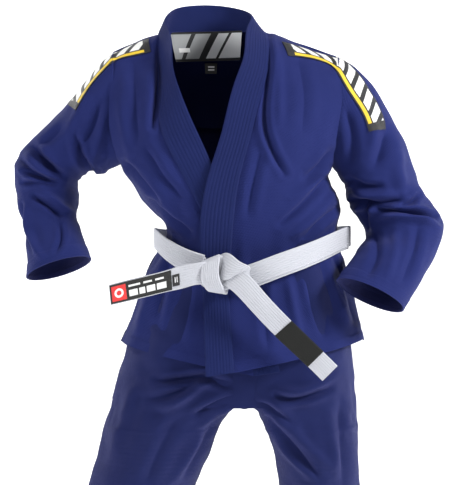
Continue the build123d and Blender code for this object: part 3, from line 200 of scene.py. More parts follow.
# Folds: kind, line in x and z, height, half width.
FOLDS = {
    "SLEEVE_RIGHT": [
        ("v", [(-323, -220), (-305, -239), (-286, -257), (-271, -269)], 9.0, 9.0),
        ("v", [(-355, -241), (-327, -261), (-275, -286)], 5.0, 7.0),
        ("v", [(-338, -265), (-309, -274), (-282, -282)], 4.0, 5.0),
        ("v", [(-342, -286), (-312, -284), (-282, -289)], 3.5, 5.0),
        ("r", [(-306, -300), (-286, -315), (-267, -332), (-249, -345)], 5.0, 8.0),
        ("v", [(-319, -311), (-293, -328), (-271, -347)], 4.5, 6.0),
        ("r", [(-334, -335), (-329, -369), (-316, -403), (-293, -429)], 4.0, 8.0),
        ("v", [(-345, -326), (-340, -369), (-321, -410)], 3.0, 5.0),
        ("v", [(-271, -358), (-267, -388), (-275, -410)], 3.0, 6.0),
        ("r", [(-217, -115), (-233, -153), (-255, -190)], 3.5, 12.0),
        ("v", [(-195, -138), (-206, -179), (-233, -220)], 3.5, 9.0),
        ("r", [(-188, -168), (-196, -209), (-211, -242)], 3.0, 9.0),
        ("v", [(-240, -196), (-233, -227), (-216, -263)], 5.0, 8.0),
        ("v", [(-270, -182), (-293, -205), (-311, -216)], 3.0, 9.0),
    ],
    "SLEEVE_LEFT": [
        ("v", [(280, -319), (306, -323), (338, -323), (366, -317)], 7.0, 7.0),
        ("v", [(321, -334), (357, -338), (394, -343), (433, -349)], 8.0, 6.0),
        ("r", [(327, -353), (351, -345), (373, -343), (407, -355), (443, -372)], 5.0, 6.0),
        ("v", [(302, -322), (302, -351), (306, -381)], 5.0, 7.0),
        ("v", [(343, -190), (334, -216), (319, -250)], 5.0, 14.0),
        ("r", [(365, -224), (362, -261), (370, -295)], 4.0, 12.0),
        ("v", [(275, -279), (302, -291), (328, -291)], 4.0, 7.0),
        ("r", [(283, -302), (313, -306), (347, -302)], 4.0, 6.0),
        ("v", [(404, -310), (385, -323), (362, -329)], 4.0, 6.0),
        ("r", [(359, -374), (352, -411), (334, -456)], 3.5, 10.0),
        ("v", [(400, -367), (390, -408), (368, -460)], 3.0, 9.0),
        ("v", [(322, -381), (318, -418), (300, -448)], 3.0, 9.0),
        ("v", [(262, -149), (275, -196), (272, -242)], 3.0, 10.0),
        ("r", [(290, -130), (309, -177), (313, -224)], 3.0, 12.0),
    ],
    "FRONT_RIGHT": [
        ("v", [(-83, -30), (-83, -78), (-87, -126), (-96, -178)], 6.0, 7.0),
        ("r", [(-101, -56), (-105, -112), (-115, -171)], 3.0, 10.0),
        ("v", [(-134, -60), (-127, -130), (-123, -204)], 2.5, 12.0),
        ("r", [(-157, -130), (-146, -186), (-135, -241)], 3.0, 10.0),
        ("v", [(-150, -249), (-121, -268), (-83, -309)], 4.0, 8.0),
        ("r", [(-131, -259), (-98, -285), (-49, -341)], 3.5, 8.0),
        ("v", [(-101, -315), (-68, -343), (-27, -375)], 4.0, 7.0),
        ("v", [(-107, -221), (-82, -261), (-45, -306)], 3.0, 9.0),
        ("v", [(-69, -433), (-76, -471), (-88, -523)], 3.0, 9.0),
        ("v", [(-27, -447), (-34, -499), (-49, -573)], 2.5, 9.0),
        ("r", [(-49, -441), (-61, -494), (-79, -557)], 3.0, 9.0),
        ("r", [(-100, -455), (-111, -508), (-127, -561)], 2.5, 9.0),
    ],
    "FRONT_LEFT": [
        ("v", [(118, -12), (115, -93), (112, -181), (125, -222), (147, -263)], 5.0, 7.0),
        ("r", [(134, -38), (138, -111), (136, -178)], 3.0, 10.0),
        ("v", [(176, -56), (184, -122), (180, -185)], 2.0, 12.0),
        ("v", [(234, -227), (215, -253), (189, -272)], 4.0, 9.0),
        ("r", [(230, -249), (200, -283), (159, -309)], 3.5, 9.0),
        ("v", [(225, -277), (188, -315), (140, -355)], 3.5, 8.0),
        ("r", [(241, -308), (204, -342), (163, -379)], 3.5, 8.0),
        ("v", [(249, -332), (219, -354), (186, -384)], 3.5, 7.0),
        ("v", [(106, -221), (91, -276), (80, -338)], 2.5, 9.0),
        ("v", [(106, -463), (110, -515), (117, -589)], 2.5, 9.0),
        ("r", [(151, -449), (162, -507), (177, -572)], 3.0, 9.0),
        ("v", [(188, -440), (203, -500), (222, -560)], 3.0, 8.0),
        ("r", [(223, -433), (242, -489), (265, -546)], 3.0, 8.0),
        ("v", [(244, -424), (267, -485), (282, -546)], 2.5, 7.0),
    ],
    "TROUSER_RIGHT": [
        ("v", [(-88, -649), (-45, -645), (3, -641), (40, -654)], 5.0, 8.0),
        ("r", [(-75, -700), (-36, -677), (-1, -652), (21, -643)], 5.0, 9.0),
        ("v", [(-101, -684), (-60, -673), (-19, -654)], 3.0, 8.0),
        ("v", [(44, -682), (18, -693), (-16, -712)], 4.0, 7.0),
        ("r", [(51, -694), (21, -713), (-12, -736)], 3.5, 7.0),
        ("r", [(-132, -670), (-151, -727), (-174, -793)], 3.5, 12.0),
        ("v", [(-53, -723), (-83, -780), (-109, -844)], 2.5, 12.0),
        ("r", [(-12, -763), (-35, -805), (-65, -846)], 3.0, 10.0),
        ("v", [(14, -736), (-9, -784), (-35, -829)], 2.5, 8.0),
    ],
    "TROUSER_LEFT": [
        ("r", [(131, -694), (168, -741), (200, -779), (234, -813)], 4.5, 9.0),
        ("v", [(122, -720), (155, -761), (189, -803), (215, -837)], 4.0, 8.0),
        ("r", [(141, -770), (174, -804), (214, -838)], 3.5, 8.0),
        ("v", [(136, -675), (159, -682), (181, -680), (207, -673), (233, -666)], 4.5, 7.0),
        ("r", [(133, -662), (170, -667), (210, -656), (244, -645)], 3.5, 8.0),
        ("v", [(254, -692), (258, -768), (262, -845)], 3.0, 10.0),
        ("v", [(107, -690), (133, -705), (163, -731)], 4.0, 7.0),
        ("r", [(227, -708), (238, -765), (250, -822)], 2.5, 10.0),
    ],
}

BELT_FRONT_RIGHT = [
    ((-91.0, -1.0, -373.4), (-91.3, 1.0, -412.4)),
    ((-83.1, -56.6, -376.5), (-84.5, -51.4, -415.1)),
    ((-61.2, -102.2, -388.0), (-66.7, -93.8, -425.7)),
    ((-29.4, -134.4, -401.8), (-38.0, -127.6, -439.2)),
    ((2.2, -149.3, -411.2), (-6.8, -144.7, -448.8)),
]

BELT_FRONT_LEFT = [
    ((55.8, -148.4, -437.1), (67.9, -147.6, -474.2)),
    ((88.4, -146.8, -426.4), (101.2, -145.2, -463.2)),
    ((129.3, -140.6, -411.4), (141.3, -137.4, -448.3)),
    ((171.2, -126.5, -397.8), (181.1, -121.5, -435.2)),
    ((212.6, -101.1, -384.2), (219.3, -94.9, -422.1)),
    ((248.6, -56.1, -372.7), (251.0, -51.9, -411.4)),
    ((271.3, -0.9, -369.6), (272.0, 0.9, -408.6)),
]

BELT_BACK = [
    ((271.5, 2.1, -369.7), (271.9, -1.1, -408.6)),
    ((265.7, 45.9, -373.4), (267.3, 42.1, -412.2)),
    ((232.7, 91.2, -380.2), (235.7, 88.8, -419.0)),
    ((164.2, 122.3, -385.8), (166.3, 121.7, -424.7)),
    ((86.8, 131.0, -388.5), (87.3, 131.0, -427.5)),
    ((16.9, 122.1, -387.7), (16.0, 121.9, -426.7)),
    ((-48.4, 90.8, -385.0), (-50.5, 89.2, -423.9)),
    ((-84.0, 46.1, -379.2), (-85.9, 41.9, -417.9)),
    ((-90.8, 3.0, -373.6), (-91.5, -2.0, -412.3)),
]

LABEL_TOP = [(-67.0, 44.0, -4.0), (-32.9, 57.0, -3.0), (1.6, 62.0, -2.0), (38.0, 58.0, -1.0), (70.5, 44.0, 0.0)]

LABEL_BOTTOM = [(-55.9, 54.0, -60.0), (-27.3, 66.0, -59.1), (5.3, 71.0, -58.2), (38.0, 66.0, -57.3), (66.7, 53.0, -56.3)]

PATCH_RIGHT = [
    [(-109.8, 24.0, -18.3), (-126.8, 22.0, -21.1), (-154.2, 19.0, -29.6), (-172.1, 16.0, -39.1), (-199.3, 14.0, -62.6), (-217.6, 14.0, -86.2), (-244.5, 16.0, -125.9), (-256.0, 16.0, -139.2)],
    [(-100.7, -22.0, -41.1), (-119.4, -24.0, -43.7), (-143.7, -26.0, -48.5), (-160.5, -28.0, -53.2), (-179.0, -32.0, -65.3), (-196.5, -36.0, -85.8), (-214.5, -38.0, -115.6), (-229.6, -38.0, -138.0)],
]

PATCH_LEFT = [
    [(159.3, 24.0, -14.5), (195.3, 22.0, -23.9), (231.2, 19.0, -40.9), (261.4, 15.0, -56.0), (285.9, 13.0, -73.0), (308.7, 13.0, -90.0), (322.1, 13.0, -107.0), (337.5, 14.0, -133.5)],
    [(148.6, -22.0, -46.7), (176.7, -24.0, -54.1), (202.9, -26.0, -59.7), (230.9, -28.0, -65.3), (251.3, -32.0, -78.4), (266.2, -36.0, -100.7), (281.2, -38.0, -126.8), (301.9, -38.0, -153.0)],
]


# ------------------------------------------------------------------ geometry
def spline(points, t_in, t_out):
    """Natural cubic through points (n, ...) at t_in, read at t_out."""
    p = np.asarray(points, float)
    n = len(p)
    shape = p.shape[1:]
    p = p.reshape(n, -1)
    t = np.asarray(t_in, float)
    h = np.diff(t)
    a = np.zeros((n, n))
    b = np.zeros((n, p.shape[1]))
    a[0, 0] = a[-1, -1] = 1
    for i in range(1, n - 1):
        a[i, i - 1], a[i, i], a[i, i + 1] = h[i - 1], 2 * (h[i - 1] + h[i]), h[i]
        b[i] = 6 * ((p[i + 1] - p[i]) / h[i] - (p[i] - p[i - 1]) / h[i - 1])
    m = np.linalg.solve(a, b)
    o = np.asarray(t_out, float)
    k = np.clip(np.searchsorted(t, o, side="right") - 1, 0, n - 2)
    hk = h[k][:, None]
    d0 = (o - t[k])[:, None]
    d1 = (t[k + 1] - o)[:, None]
    out = (
        m[k] * d1**3 / (6 * hk)
        + m[k + 1] * d0**3 / (6 * hk)
        + (p[k] / hk - m[k] * hk / 6) * d1
        + (p[k + 1] / hk - m[k + 1] * hk / 6) * d0
    )
    return out.reshape((len(o),) + shape)


def chord(points):
    p = np.asarray(points, float)
    d = np.linalg.norm(np.diff(p, axis=0).reshape(len(p) - 1, -1, 3), axis=2).mean(axis=1)
    t = np.concatenate([[0], np.cumsum(np.maximum(d, 1e-3))])
    return t / t[-1]


def surface(rows, nu, nv):
    """Smooth grid (nu, nv, 3) through rows of points, even along both ways."""
    across = np.linspace(0, 1, nv)
    lines = []
    for r in rows:
        r = np.asarray(r, float)
        lines.append(spline(r, chord(r[:, None, :]), across) if len(r) > 2 else r[0] + (r[1] - r[0]) * across[:, None])
    lines = np.array(lines)
    t = chord(lines)
    fine = spline(lines, t, np.linspace(0, 1, nu * 2))
    return spline(fine, chord(fine), np.linspace(0, 1, nu))


def tube_surface(rings, nu, nv, shape=None):
    """Closed tube through rings; the last column repeats the first."""
    ang = np.linspace(0, 2 * math.pi, nv)
    lines = []
    for c, w, d in rings:
        c, w, d = np.array(c), np.array(w), np.array(d)
        x, y = np.cos(ang), np.sin(ang)
        lines.append(c + x[:, None] * w + y[:, None] * d)
    lines = np.array(lines)
    t = chord(lines)
    fine = spline(lines, t, np.linspace(0, 1, nu * 2))
    return spline(fine, chord(fine), np.linspace(0, 1, nu))


def grid_normals(g, closed=False):
    if closed:
        e = np.concatenate([g[:, -2:-1], g, g[:, 1:2]], axis=1)
        du = np.gradient(e, axis=0)[:, 1:-1]
        dv = ((e[:, 2:] - e[:, :-2]) / 2)
    else:
        du, dv = np.gradient(g, axis=0), np.gradient(g, axis=1)
    n = np.cross(du, dv)
    return n / np.maximum(np.linalg.norm(n, axis=2, keepdims=True), 1e-9)


def smooth(x):
    x = np.clip(x, 0, 1)
    return x * x * (3 - 2 * x)


def hash3(i, seed):
    h = (i[..., 0] * 73856093) ^ (i[..., 1] * 19349663) ^ (i[..., 2] * 83492791) ^ (seed * 2654435761)
    h = (h ^ (h >> 13)) * 1274126177
    h = h & 0x7FFFFFFF
    return (h % 100003) / 100003.0 * 2 - 1


def noise(p, seed=1):
    """Smooth value noise, -1 to 1, at points given in cells."""
    base = np.floor(p).astype(np.int64)
    f = smooth(p - base)
    out = 0
    for dx in (0, 1):
        for dy in (0, 1):
            for dz in (0, 1):
                w = (f[..., 0] if dx else 1 - f[..., 0]) * (f[..., 1] if dy else 1 - f[..., 1]) * (f[..., 2] if dz else 1 - f[..., 2])
                out = out + w * hash3(base + np.array([dx, dy, dz]), seed)
    return out


def wrinkles(g, along, size, stretch, height, seed):
    """Long soft folds: noise drawn out along a direction."""
    a = np.array(along, float)
    a /= np.linalg.norm(a)
    s = (g @ a)[..., None] * a
    p = (g - s) / size + s / (size * stretch)
    n = noise(p, seed)
    return height * (1 - 2 * np.abs(n)) if height > 0 else -height * n


def fold_field(g, folds, front=True, mask=None):
    """Height of drawn folds at each point, seen from the front."""
    x, z = g[..., 0], g[..., 2]
    out = np.zeros(x.shape)
    for kind, line, height, width in folds:
        q = np.array(line, float)
        m = len(q)
        if m > 2:
            q = spline(np.c_[q, q[:, :1] * 0], chord(np.c_[q, q[:, :1] * 0][:, None, :]), np.linspace(0, 1, 24))[:, :2]
            m = 24
        best = np.full(x.shape, 1e9)
        where = np.zeros(x.shape)
        for i in range(m - 1):
            a, b = q[i], q[i + 1]
            e = b - a
            l2 = max(e @ e, 1e-6)
            t = np.clip(((x - a[0]) * e[0] + (z - a[1]) * e[1]) / l2, 0, 1)
            d = np.hypot(x - a[0] - t * e[0], z - a[1] - t * e[1])
            closer = d < best
            best = np.where(closer, d, best)
            where = np.where(closer, (i + t) / (m - 1), where)
        taper = np.clip(4 * where * (1 - where) + 0.25, 0, 1) ** 0.7
        if kind == "r":
            f = np.exp(-((best / width) ** 2))
        else:
            f = -np.exp(-((best / (width * 0.75)) ** 1.3)) + 0.45 * np.exp(-(((best - width * 1.6) / width) ** 2))
        out += height * taper * f
    return out * (mask if mask is not None else 1)


def lengths(g):
    """Distance along and across the cloth, in metres, for the weave."""
    u = np.concatenate([[0], np.cumsum(np.linalg.norm(np.diff(g, axis=0), axis=2).mean(axis=1))])
    v = np.concatenate([[0], np.cumsum(np.linalg.norm(np.diff(g, axis=1), axis=2).mean(axis=0))])
    return u / 1000, v / 1000


def build(name, g, thick, mats, closed=False, facing=None, inner=None, outward=None, v_start=0.0, custom=None):
    """Closed cloth mesh from a grid in mm: outer face, inner face and rims."""
    nu, nv = g.shape[:2]
    raw = grid_normals(g, closed)
    if outward is not None:
        flip = float((raw * outward).sum()) < 0
    elif custom is not None:
        flip = float((raw * custom).sum()) < 0
    elif closed:
        c = g[:, :-1].mean(axis=1)
        flip = float((raw * (g - c[:, None])).sum()) < 0
    else:
        flip = float((raw * (g - np.array(facing))).sum()) < 0
    out = custom if custom is not None else raw * (-1 if flip else 1)
    if inner is None:
        inner = g - out * thick
    if closed:
        g, inner, out = g[:, :-1], inner[:, :-1], out[:, :-1]
        cols = nv - 1
    else:
        cols = nv
    verts = np.concatenate([g.reshape(-1, 3), inner.reshape(-1, 3)]) / 1000
    base = nu * cols
    i, j = np.meshgrid(np.arange(nu - 1), np.arange(cols if closed else cols - 1), indexing="ij")
    j2 = (j + 1) % cols
    a, b, c, d = i * cols + j, i * cols + j2, (i + 1) * cols + j2, (i + 1) * cols + j
    # the grid's own normal is du x dv, which the order a, d, c, b faces
    quad = np.stack([a, d, c, b], -1).reshape(-1, 4)
    back = quad[:, ::-1] + base
    rims = []
    jj = np.arange(cols if closed else cols - 1)
    k = (jj + 1) % cols
    for row, turn in ((0, False), (nu - 1, True)):
        p, q = row * cols + jj, row * cols + k
        r = np.stack([p, q, q + base, p + base], -1)
        rims.append(r[:, ::-1] if turn else r)
    if not closed:
        ii = np.arange(nu - 1)
        for col, turn in ((0, True), (cols - 1, False)):
            p, q = ii * cols + col, (ii + 1) * cols + col
            r = np.stack([p, q, q + base, p + base], -1)
            rims.append(r[:, ::-1] if turn else r)
    rims = np.concatenate(rims)
    if flip:
        quad, back, rims = quad[:, ::-1], back[:, ::-1], rims[:, ::-1]
    faces = np.concatenate([quad, back, rims])
    mesh = bpy.data.meshes.new(name)
    mesh.vertices.add(len(verts))
    mesh.vertices.foreach_set("co", verts.ravel())
    mesh.loops.add(len(faces) * 4)
    mesh.loops.foreach_set("vertex_index", faces.ravel().astype(np.int32))
    mesh.polygons.add(len(faces))
    mesh.polygons.foreach_set("loop_start", np.arange(len(faces), dtype=np.int32) * 4)
    mats = mats if isinstance(mats, (list, tuple)) else [mats]
    for m in mats:
        mesh.materials.append(m)
    if len(mats) > 1:
        idx = np.zeros(len(faces), np.int32)
        idx[len(quad) : 2 * len(quad)] = 1
        mesh.polygons.foreach_set("material_index", idx)
    mesh.update(calc_edges=True)
    mesh.polygons.foreach_set("use_smooth", np.ones(len(faces), bool))
    gu, gv = lengths(np.concatenate([g, g[:, :1]], axis=1) if closed else g)
    gu = gu + v_start
    uv = mesh.uv_layers.new(name="cloth")
    vid = faces % base
    fi, fj = vid // cols, vid % cols
    if closed:
        wrap = (fj.max(axis=1) - fj.min(axis=1)) > cols // 2
        fj = np.where(wrap[:, None] & (fj < cols // 2), fj + cols, fj)
    uu = gu[fi]
    vv = gv[np.minimum(fj, len(gv) - 1)]
    uv.data.foreach_set("uv", np.stack([vv, uu], -1).astype(np.float32).ravel())
    mesh.validate()
    ob = bpy.data.objects.new(name, mesh)
    bpy.context.scene.collection.objects.link(ob)
    sharpen(ob, len(quad), len(faces))
    return ob


def sharpen(ob, nquad, nfaces):
    """Keeps rims crisp: faces of the rim are flat-shaded at their two edges."""
    mesh = ob.data
    v = np.zeros(len(mesh.edges) * 2, np.int32)
    mesh.edges.foreach_get("vertices", v)
    v = v.reshape(-1, 2)
    rim = set()
    lv = np.zeros(len(mesh.loops), np.int32)
    mesh.loops.foreach_get("vertex_index", lv)
    lv = lv.reshape(-1, 4)[2 * nquad :]
    base = len(mesh.vertices) // 2
    keys = np.sort(np.concatenate([lv[:, [0, 1]], lv[:, [1, 2]], lv[:, [2, 3]], lv[:, [3, 0]]]), axis=1)
    same = (keys[:, 0] < base) == (keys[:, 1] < base)
    keys = keys[same]
    key = keys[:, 0].astype(np.int64) * (len(mesh.vertices) + 1) + keys[:, 1]
    ev = np.sort(v, axis=1)
    ekey = ev[:, 0].astype(np.int64) * (len(mesh.vertices) + 1) + ev[:, 1]
    sharp = np.isin(ekey, key)
    attr = mesh.attributes.get("sharp_edge") or mesh.attributes.new("sharp_edge", "BOOLEAN", "EDGE")
    attr.data.foreach_set("value", sharp)


# ----------------------------------------------------------------- materials
class Mat:
    """A principled material with short helpers for its nodes."""

    def __init__(self, name, rough=0.85, sheen=0.0, sheen_tint=(1, 1, 1, 1), sheen_rough=0.5, spec=0.3):
        self.m = bpy.data.materials.new(name)
        self.m.use_nodes = True
        self.nt = self.m.node_tree
        self.b = self.nt.nodes["Principled BSDF"]
        self.b.inputs["Roughness"].default_value = rough
        self.b.inputs["Sheen Weight"].default_value = sheen
        self.b.inputs["Sheen Tint"].default_value = sheen_tint
        self.b.inputs["Sheen Roughness"].default_value = sheen_rough
        self.b.inputs["Specular IOR Level"].default_value = spec
        self.uv = self.nt.nodes.new("ShaderNodeUVMap")
        self.uv.uv_map = "cloth"
        self.sep = self.nt.nodes.new("ShaderNodeSeparateXYZ")
        self.nt.links.new(self.uv.outputs[0], self.sep.inputs[0])

    def put(self, v, sock):
        if isinstance(v, (int, float)):
            sock.default_value = v
        elif isinstance(v, tuple):
            sock.default_value = v if len(v) == 4 else v + (1,)
        else:
            self.nt.links.new(v, sock)

    def op(self, kind, a, b=0.0, c=None, clamp=False):
        n = self.nt.nodes.new("ShaderNodeMath")
        n.operation = kind
        n.use_clamp = clamp
        self.put(a, n.inputs[0])
        self.put(b, n.inputs[1])
        if c is not None:
            self.put(c, n.inputs[2])
        return n.outputs[0]

    def x(self):
        return self.sep.outputs[0]

    def y(self):
        return self.sep.outputs[1]

    def noise(self, scale, detail=3.0, rough=0.55, stretch=None):
        n = self.nt.nodes.new("ShaderNodeTexNoise")
        n.inputs["Scale"].default_value = scale
        n.inputs["Detail"].default_value = detail
        n.inputs["Roughness"].default_value = rough
        src = self.uv.outputs[0]
        if stretch:
            m = self.nt.nodes.new("ShaderNodeMapping")
            m.inputs["Scale"].default_value = stretch
            self.nt.links.new(src, m.inputs[0])
            src = m.outputs[0]
        self.nt.links.new(src, n.inputs["Vector"])
        return n.outputs["Fac"]

    def between(self, v, lo, hi):
        return self.op("MULTIPLY", self.op("GREATER_THAN", v, lo), self.op("LESS_THAN", v, hi))

    def mix(self, f, a, b):
        n = self.nt.nodes.new("ShaderNodeMix")
        n.data_type = "RGBA"
        self.put(f, n.inputs[0])
        self.put(a, n.inputs[6])
        self.put(b, n.inputs[7])
        return n.outputs[2]

    def color(self, v):
        self.put(v, self.b.inputs["Base Color"])

    def weave(self, pitch, depth, kind="pearl"):
        """Raised grains of the weave, pitch in metres."""
        k = 2 * math.pi / pitch
        if kind == "pearl":
            row = self.op("FLOOR", self.op("DIVIDE", self.y(), pitch))
            sx = self.op("SINE", self.op("MULTIPLY_ADD", self.x(), k, self.op("MULTIPLY", row, math.pi)))
            sy = self.op("SINE", self.op("MULTIPLY", self.y(), k / 2))
            h = self.op("MULTIPLY_ADD", sx, 0.3, self.op("MULTIPLY", self.op("ABSOLUTE", sy), 0.7))
        elif kind == "twill":
            h = self.op("SINE", self.op("MULTIPLY", self.op("ADD", self.x(), self.y()), k))
        else:
            sx = self.op("SINE", self.op("MULTIPLY", self.x(), k))
            sy = self.op("SINE", self.op("MULTIPLY", self.y(), k))
            h = self.op("MULTIPLY", sx, sy)
        h = self.op("MULTIPLY_ADD", self.noise(900, 2), 0.8, h)
        return h

    def bump(self, h, distance, strength=1.0):
        n = self.nt.nodes.new("ShaderNodeBump")
        n.inputs["Strength"].default_value = strength
        n.inputs["Distance"].default_value = distance
        self.put(h, n.inputs["Height"])
        self.nt.links.new(n.outputs[0], self.b.inputs["Normal"])


def cloth_mat(name, base, dark, pitch, kind, bump, sheen=0.09, tint=(0.45, 0.45, 1.0, 1), rough=0.8):
    m = Mat(name, rough, sheen, tint, 0.45, 0.12)
    h = m.weave(pitch, bump, kind)
    blotch = m.noise(9, 4)
    f = m.op("ADD", m.op("MULTIPLY", blotch, 0.55), m.op("MULTIPLY", h, 0.18), clamp=True)
    m.color(m.mix(f, dark, base))
    m.bump(h, bump)
    return m.m


NAVY = cloth_mat("jacket_pearl_weave", (0.017, 0.026, 0.138), (0.007, 0.012, 0.078), 0.0026, "pearl", 0.0005)
NAVY_BAND = cloth_mat("lapel_twill", (0.015, 0.025, 0.125), (0.006, 0.012, 0.074), 0.0016, "twill", 0.00025)
# inside faces of the jacket: the same pearl weave painted darker, as painted shade for the inside
NAVY_INSIDE_PAINTED_SHADE = cloth_mat("jacket_inside_painted_shade", (0.009, 0.013, 0.080), (0.005, 0.008, 0.050), 0.0026, "pearl", 0.0004, 0.15)
LINING = cloth_mat("yoke_lining", (0.008, 0.014, 0.085), (0.005, 0.009, 0.060), 0.0012, "plain", 0.0002, 0.1)
TROUSER = cloth_mat("trouser_cotton", (0.014, 0.022, 0.108), (0.006, 0.010, 0.062), 0.0012, "plain", 0.0002, 0.18)
# inside faces of the trousers: the same cotton painted darker, as painted shade for the inside of the legs
TROUSER_INSIDE_PAINTED_SHADE = cloth_mat("trouser_inside_painted_shade", (0.010, 0.014, 0.07), (0.007, 0.010, 0.05), 0.0012, "plain", 0.0002, 0.1)
TAPE = cloth_mat("cuff_tape", (0.018, 0.024, 0.120), (0.010, 0.014, 0.080), 0.0010, "twill", 0.0002, 0.15)


def belt_mat():
    m = Mat("belt_cotton", 0.8, 0.15, (1, 1, 1, 1), 0.5, 0.3)
    h = m.op("MULTIPLY_ADD", m.op("SINE", m.op("MULTIPLY", m.y(), 2 * math.pi / 0.0022)), 0.5, m.noise(700, 2))
    f = m.op("MULTIPLY_ADD", m.noise(14, 4), 0.6, m.op("MULTIPLY", h, 0.2), clamp=True)
    m.color(m.mix(f, (0.42, 0.43, 0.48), (0.52, 0.53, 0.57)))
    m.bump(h, 0.00025)
    return m.m


BELT = belt_mat()


def black_mat(name, base=(0.0035, 0.004, 0.0035), rough=0.85):
    m = Mat(name, rough, 0.1, (1, 1, 1, 1), 0.5, 0.3)
    h = m.weave(0.0012, 0.0002, "plain")
    m.color(m.mix(m.op("MULTIPLY_ADD", h, 0.25, 0.5, clamp=True), base, tuple(c * 1.8 for c in base)))
    m.bump(h, 0.0002)
    return m.m


BLACK = black_mat("rank_bar_black")


def neck_label_mat(w, h):
    """Satin label: grey and white fields crossed by black slants."""
    m = Mat("neck_label", 0.45, 0.1, (1, 1, 1, 1), 0.4, 0.4)
    x, y = m.x(), m.y()
    s = m.op("MULTIPLY_ADD", y, 0.55, x)
    grey = (0.34, 0.35, 0.36)
    c = m.mix(m.op("GREATER_THAN", s, w * 0.62), grey, (0.75, 0.76, 0.78))
    for lo, hi in ((0.30, 0.36), (0.56, 0.66), (0.80, 0.84)):
        c = m.mix(m.between(s, w * lo, w * hi), c, (0.012, 0.012, 0.014))
    frame_ = m.op("MAXIMUM", m.op("LESS_THAN", y, 0.004), m.op("GREATER_THAN", y, h - 0.004))
    c = m.mix(frame_, c, (0.012, 0.012, 0.014))
    c = m.mix(m.op("MULTIPLY", m.between(x, w * 0.08, w * 0.24), m.between(y, h * 0.55, h * 0.7)), c, (0.8, 0.8, 0.8))
    m.color(c)
    m.bump(m.weave(0.0009, 0.0001, "plain"), 0.0001)
    return m.m


def tag_mat(name, w, h):
    """Small dark tag with two plain bars."""
    m = Mat(name, 0.5, 0.1, (1, 1, 1, 1), 0.4, 0.4)
    x, y = m.x(), m.y()
    bars = m.op("MULTIPLY", m.between(x, w * 0.25, w * 0.75), m.op("MAXIMUM", m.between(y, h * 0.28, h * 0.42), m.between(y, h * 0.56, h * 0.7)))
    m.color(m.mix(bars, (0.015, 0.015, 0.017), (0.7, 0.7, 0.72)))
    m.bump(m.weave(0.0009, 0.0001, "plain"), 0.0001)
    return m.m


def belt_label_mat(length, w):
    """Black label, a red square with a plain ring, and plain white bars."""
    m = Mat("belt_label", 0.55, 0.1, (1, 1, 1, 1), 0.4, 0.4)
    x, y = m.x(), m.y()
    c = (0.010, 0.011, 0.010)
    red = m.op("MULTIPLY", m.between(y, length - 0.031, length - 0.004), m.between(x, 0.004, w - 0.004))
    c = m.mix(red, c, (0.72, 0.035, 0.035))
    dx = m.op("SUBTRACT", x, w / 2)
    dy = m.op("SUBTRACT", y, length - 0.0175)
    d = m.op("SQRT", m.op("ADD", m.op("MULTIPLY", dx, dx), m.op("MULTIPLY", dy, dy)))
    c = m.mix(m.between(d, 0.0045, 0.0085), c, (0.8, 0.8, 0.8))
    big = m.between(x, w * 0.48, w * 0.80)
    for a, b in ((0.036, 0.052), (0.055, 0.066), (0.069, 0.085), (0.088, 0.106)):
        c = m.mix(m.op("MULTIPLY", big, m.between(y, length - b, length - a)), c, (0.8, 0.8, 0.8))
    small = m.between(x, w * 0.22, w * 0.32)
    for a, b in ((0.036, 0.058), (0.064, 0.080), (0.086, 0.102)):
        c = m.mix(m.op("MULTIPLY", small, m.between(y, length - b, length - a)), c, (0.8, 0.8, 0.8))
    m.color(c)
    m.bump(m.weave(0.0009, 0.0001, "plain"), 0.0001)
    return m.m


def patch_mat(w, length):
    """Shoulder tape: black edge, slanted white blocks and a yellow stripe."""
    m = Mat("shoulder_tape", 0.55, 0.1, (1, 1, 1, 1), 0.4, 0.4)
    x, y = m.x(), m.y()
    s = m.op("FRACT", m.op("DIVIDE", m.op("MULTIPLY_ADD", x, 0.7, y), 0.030))
    blocks = m.op("MULTIPLY", m.op("LESS_THAN", s, 0.62), m.between(x, w * 0.27, w * 0.93))
    blocks = m.op("MULTIPLY", blocks, m.between(y, length * 0.06, length * 0.94))
    c = m.mix(blocks, (0.012, 0.012, 0.014), (0.82, 0.82, 0.80))
    yellow = m.op("MULTIPLY", m.between(x, w * 0.07, w * 0.21), m.between(y, length * 0.06, length * 0.94))
    c = m.mix(yellow, c, (0.75, 0.52, 0.03))
    m.color(c)
    m.bump(m.weave(0.0009, 0.0001, "plain"), 0.0001)
    return m.m


# --------------------------------------------------------------------- jacket
THICK = 2.3
BELT_Z = -430.0
made = {}


def front_panel(name, rows, folds, seed):
    g = surface(rows, 340, 124)
    n = grid_normals(g)
    if (n[..., 1]).mean() > 0:
        n = -n
    z = g[..., 2]
    k = np.exp(-((z - BELT_Z) / 70) ** 2)
    h = 2.3 * fold_field(g, folds)
    h += wrinkles(g, (0.35, 0.1, 1.0), 34, 5, -3.0, seed)
    h += k * wrinkles(g, (0.1, 0, 1.0), 17, 4, -3.0, seed + 3)
    h += 0.5 * wrinkles(g, (1, 0, 0.3), 12, 3, -1.0, seed + 5)
    edge = np.minimum(np.linspace(0, 1, 124), 0.06) / 0.06
    h *= edge[None, :]
    # hem: turned twice and sewn
    run = np.array([np.linalg.norm(np.diff(g[i:], axis=0), axis=2).mean(axis=1).sum() for i in range(len(g))])[:, None]
    h += 0.9 * smooth((21 - run) / 3) - 0.7 * np.exp(-(((run - 19) / 1.3) ** 2))
    side = np.cumsum(np.linalg.norm(np.diff(g[:, ::-1], axis=1), axis=2), axis=1)
    side = np.concatenate([np.zeros((len(g), 1)), side], axis=1)[:, ::-1]
    low = smooth((-450 - z) / 30)
    h += low * (0.8 * smooth((17 - side) / 3) - 0.6 * np.exp(-(((side - 15.5) / 1.3) ** 2)))
    g = g + n * h[..., None]
    return g


def place(ob, a, b=None, nodes=()):
    if b is None:
        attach(ob, a)
    else:
        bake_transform(ob)
    if nodes:
        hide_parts(*nodes)
    return ob


INSIDE = (60.0, 0.0, -300.0)

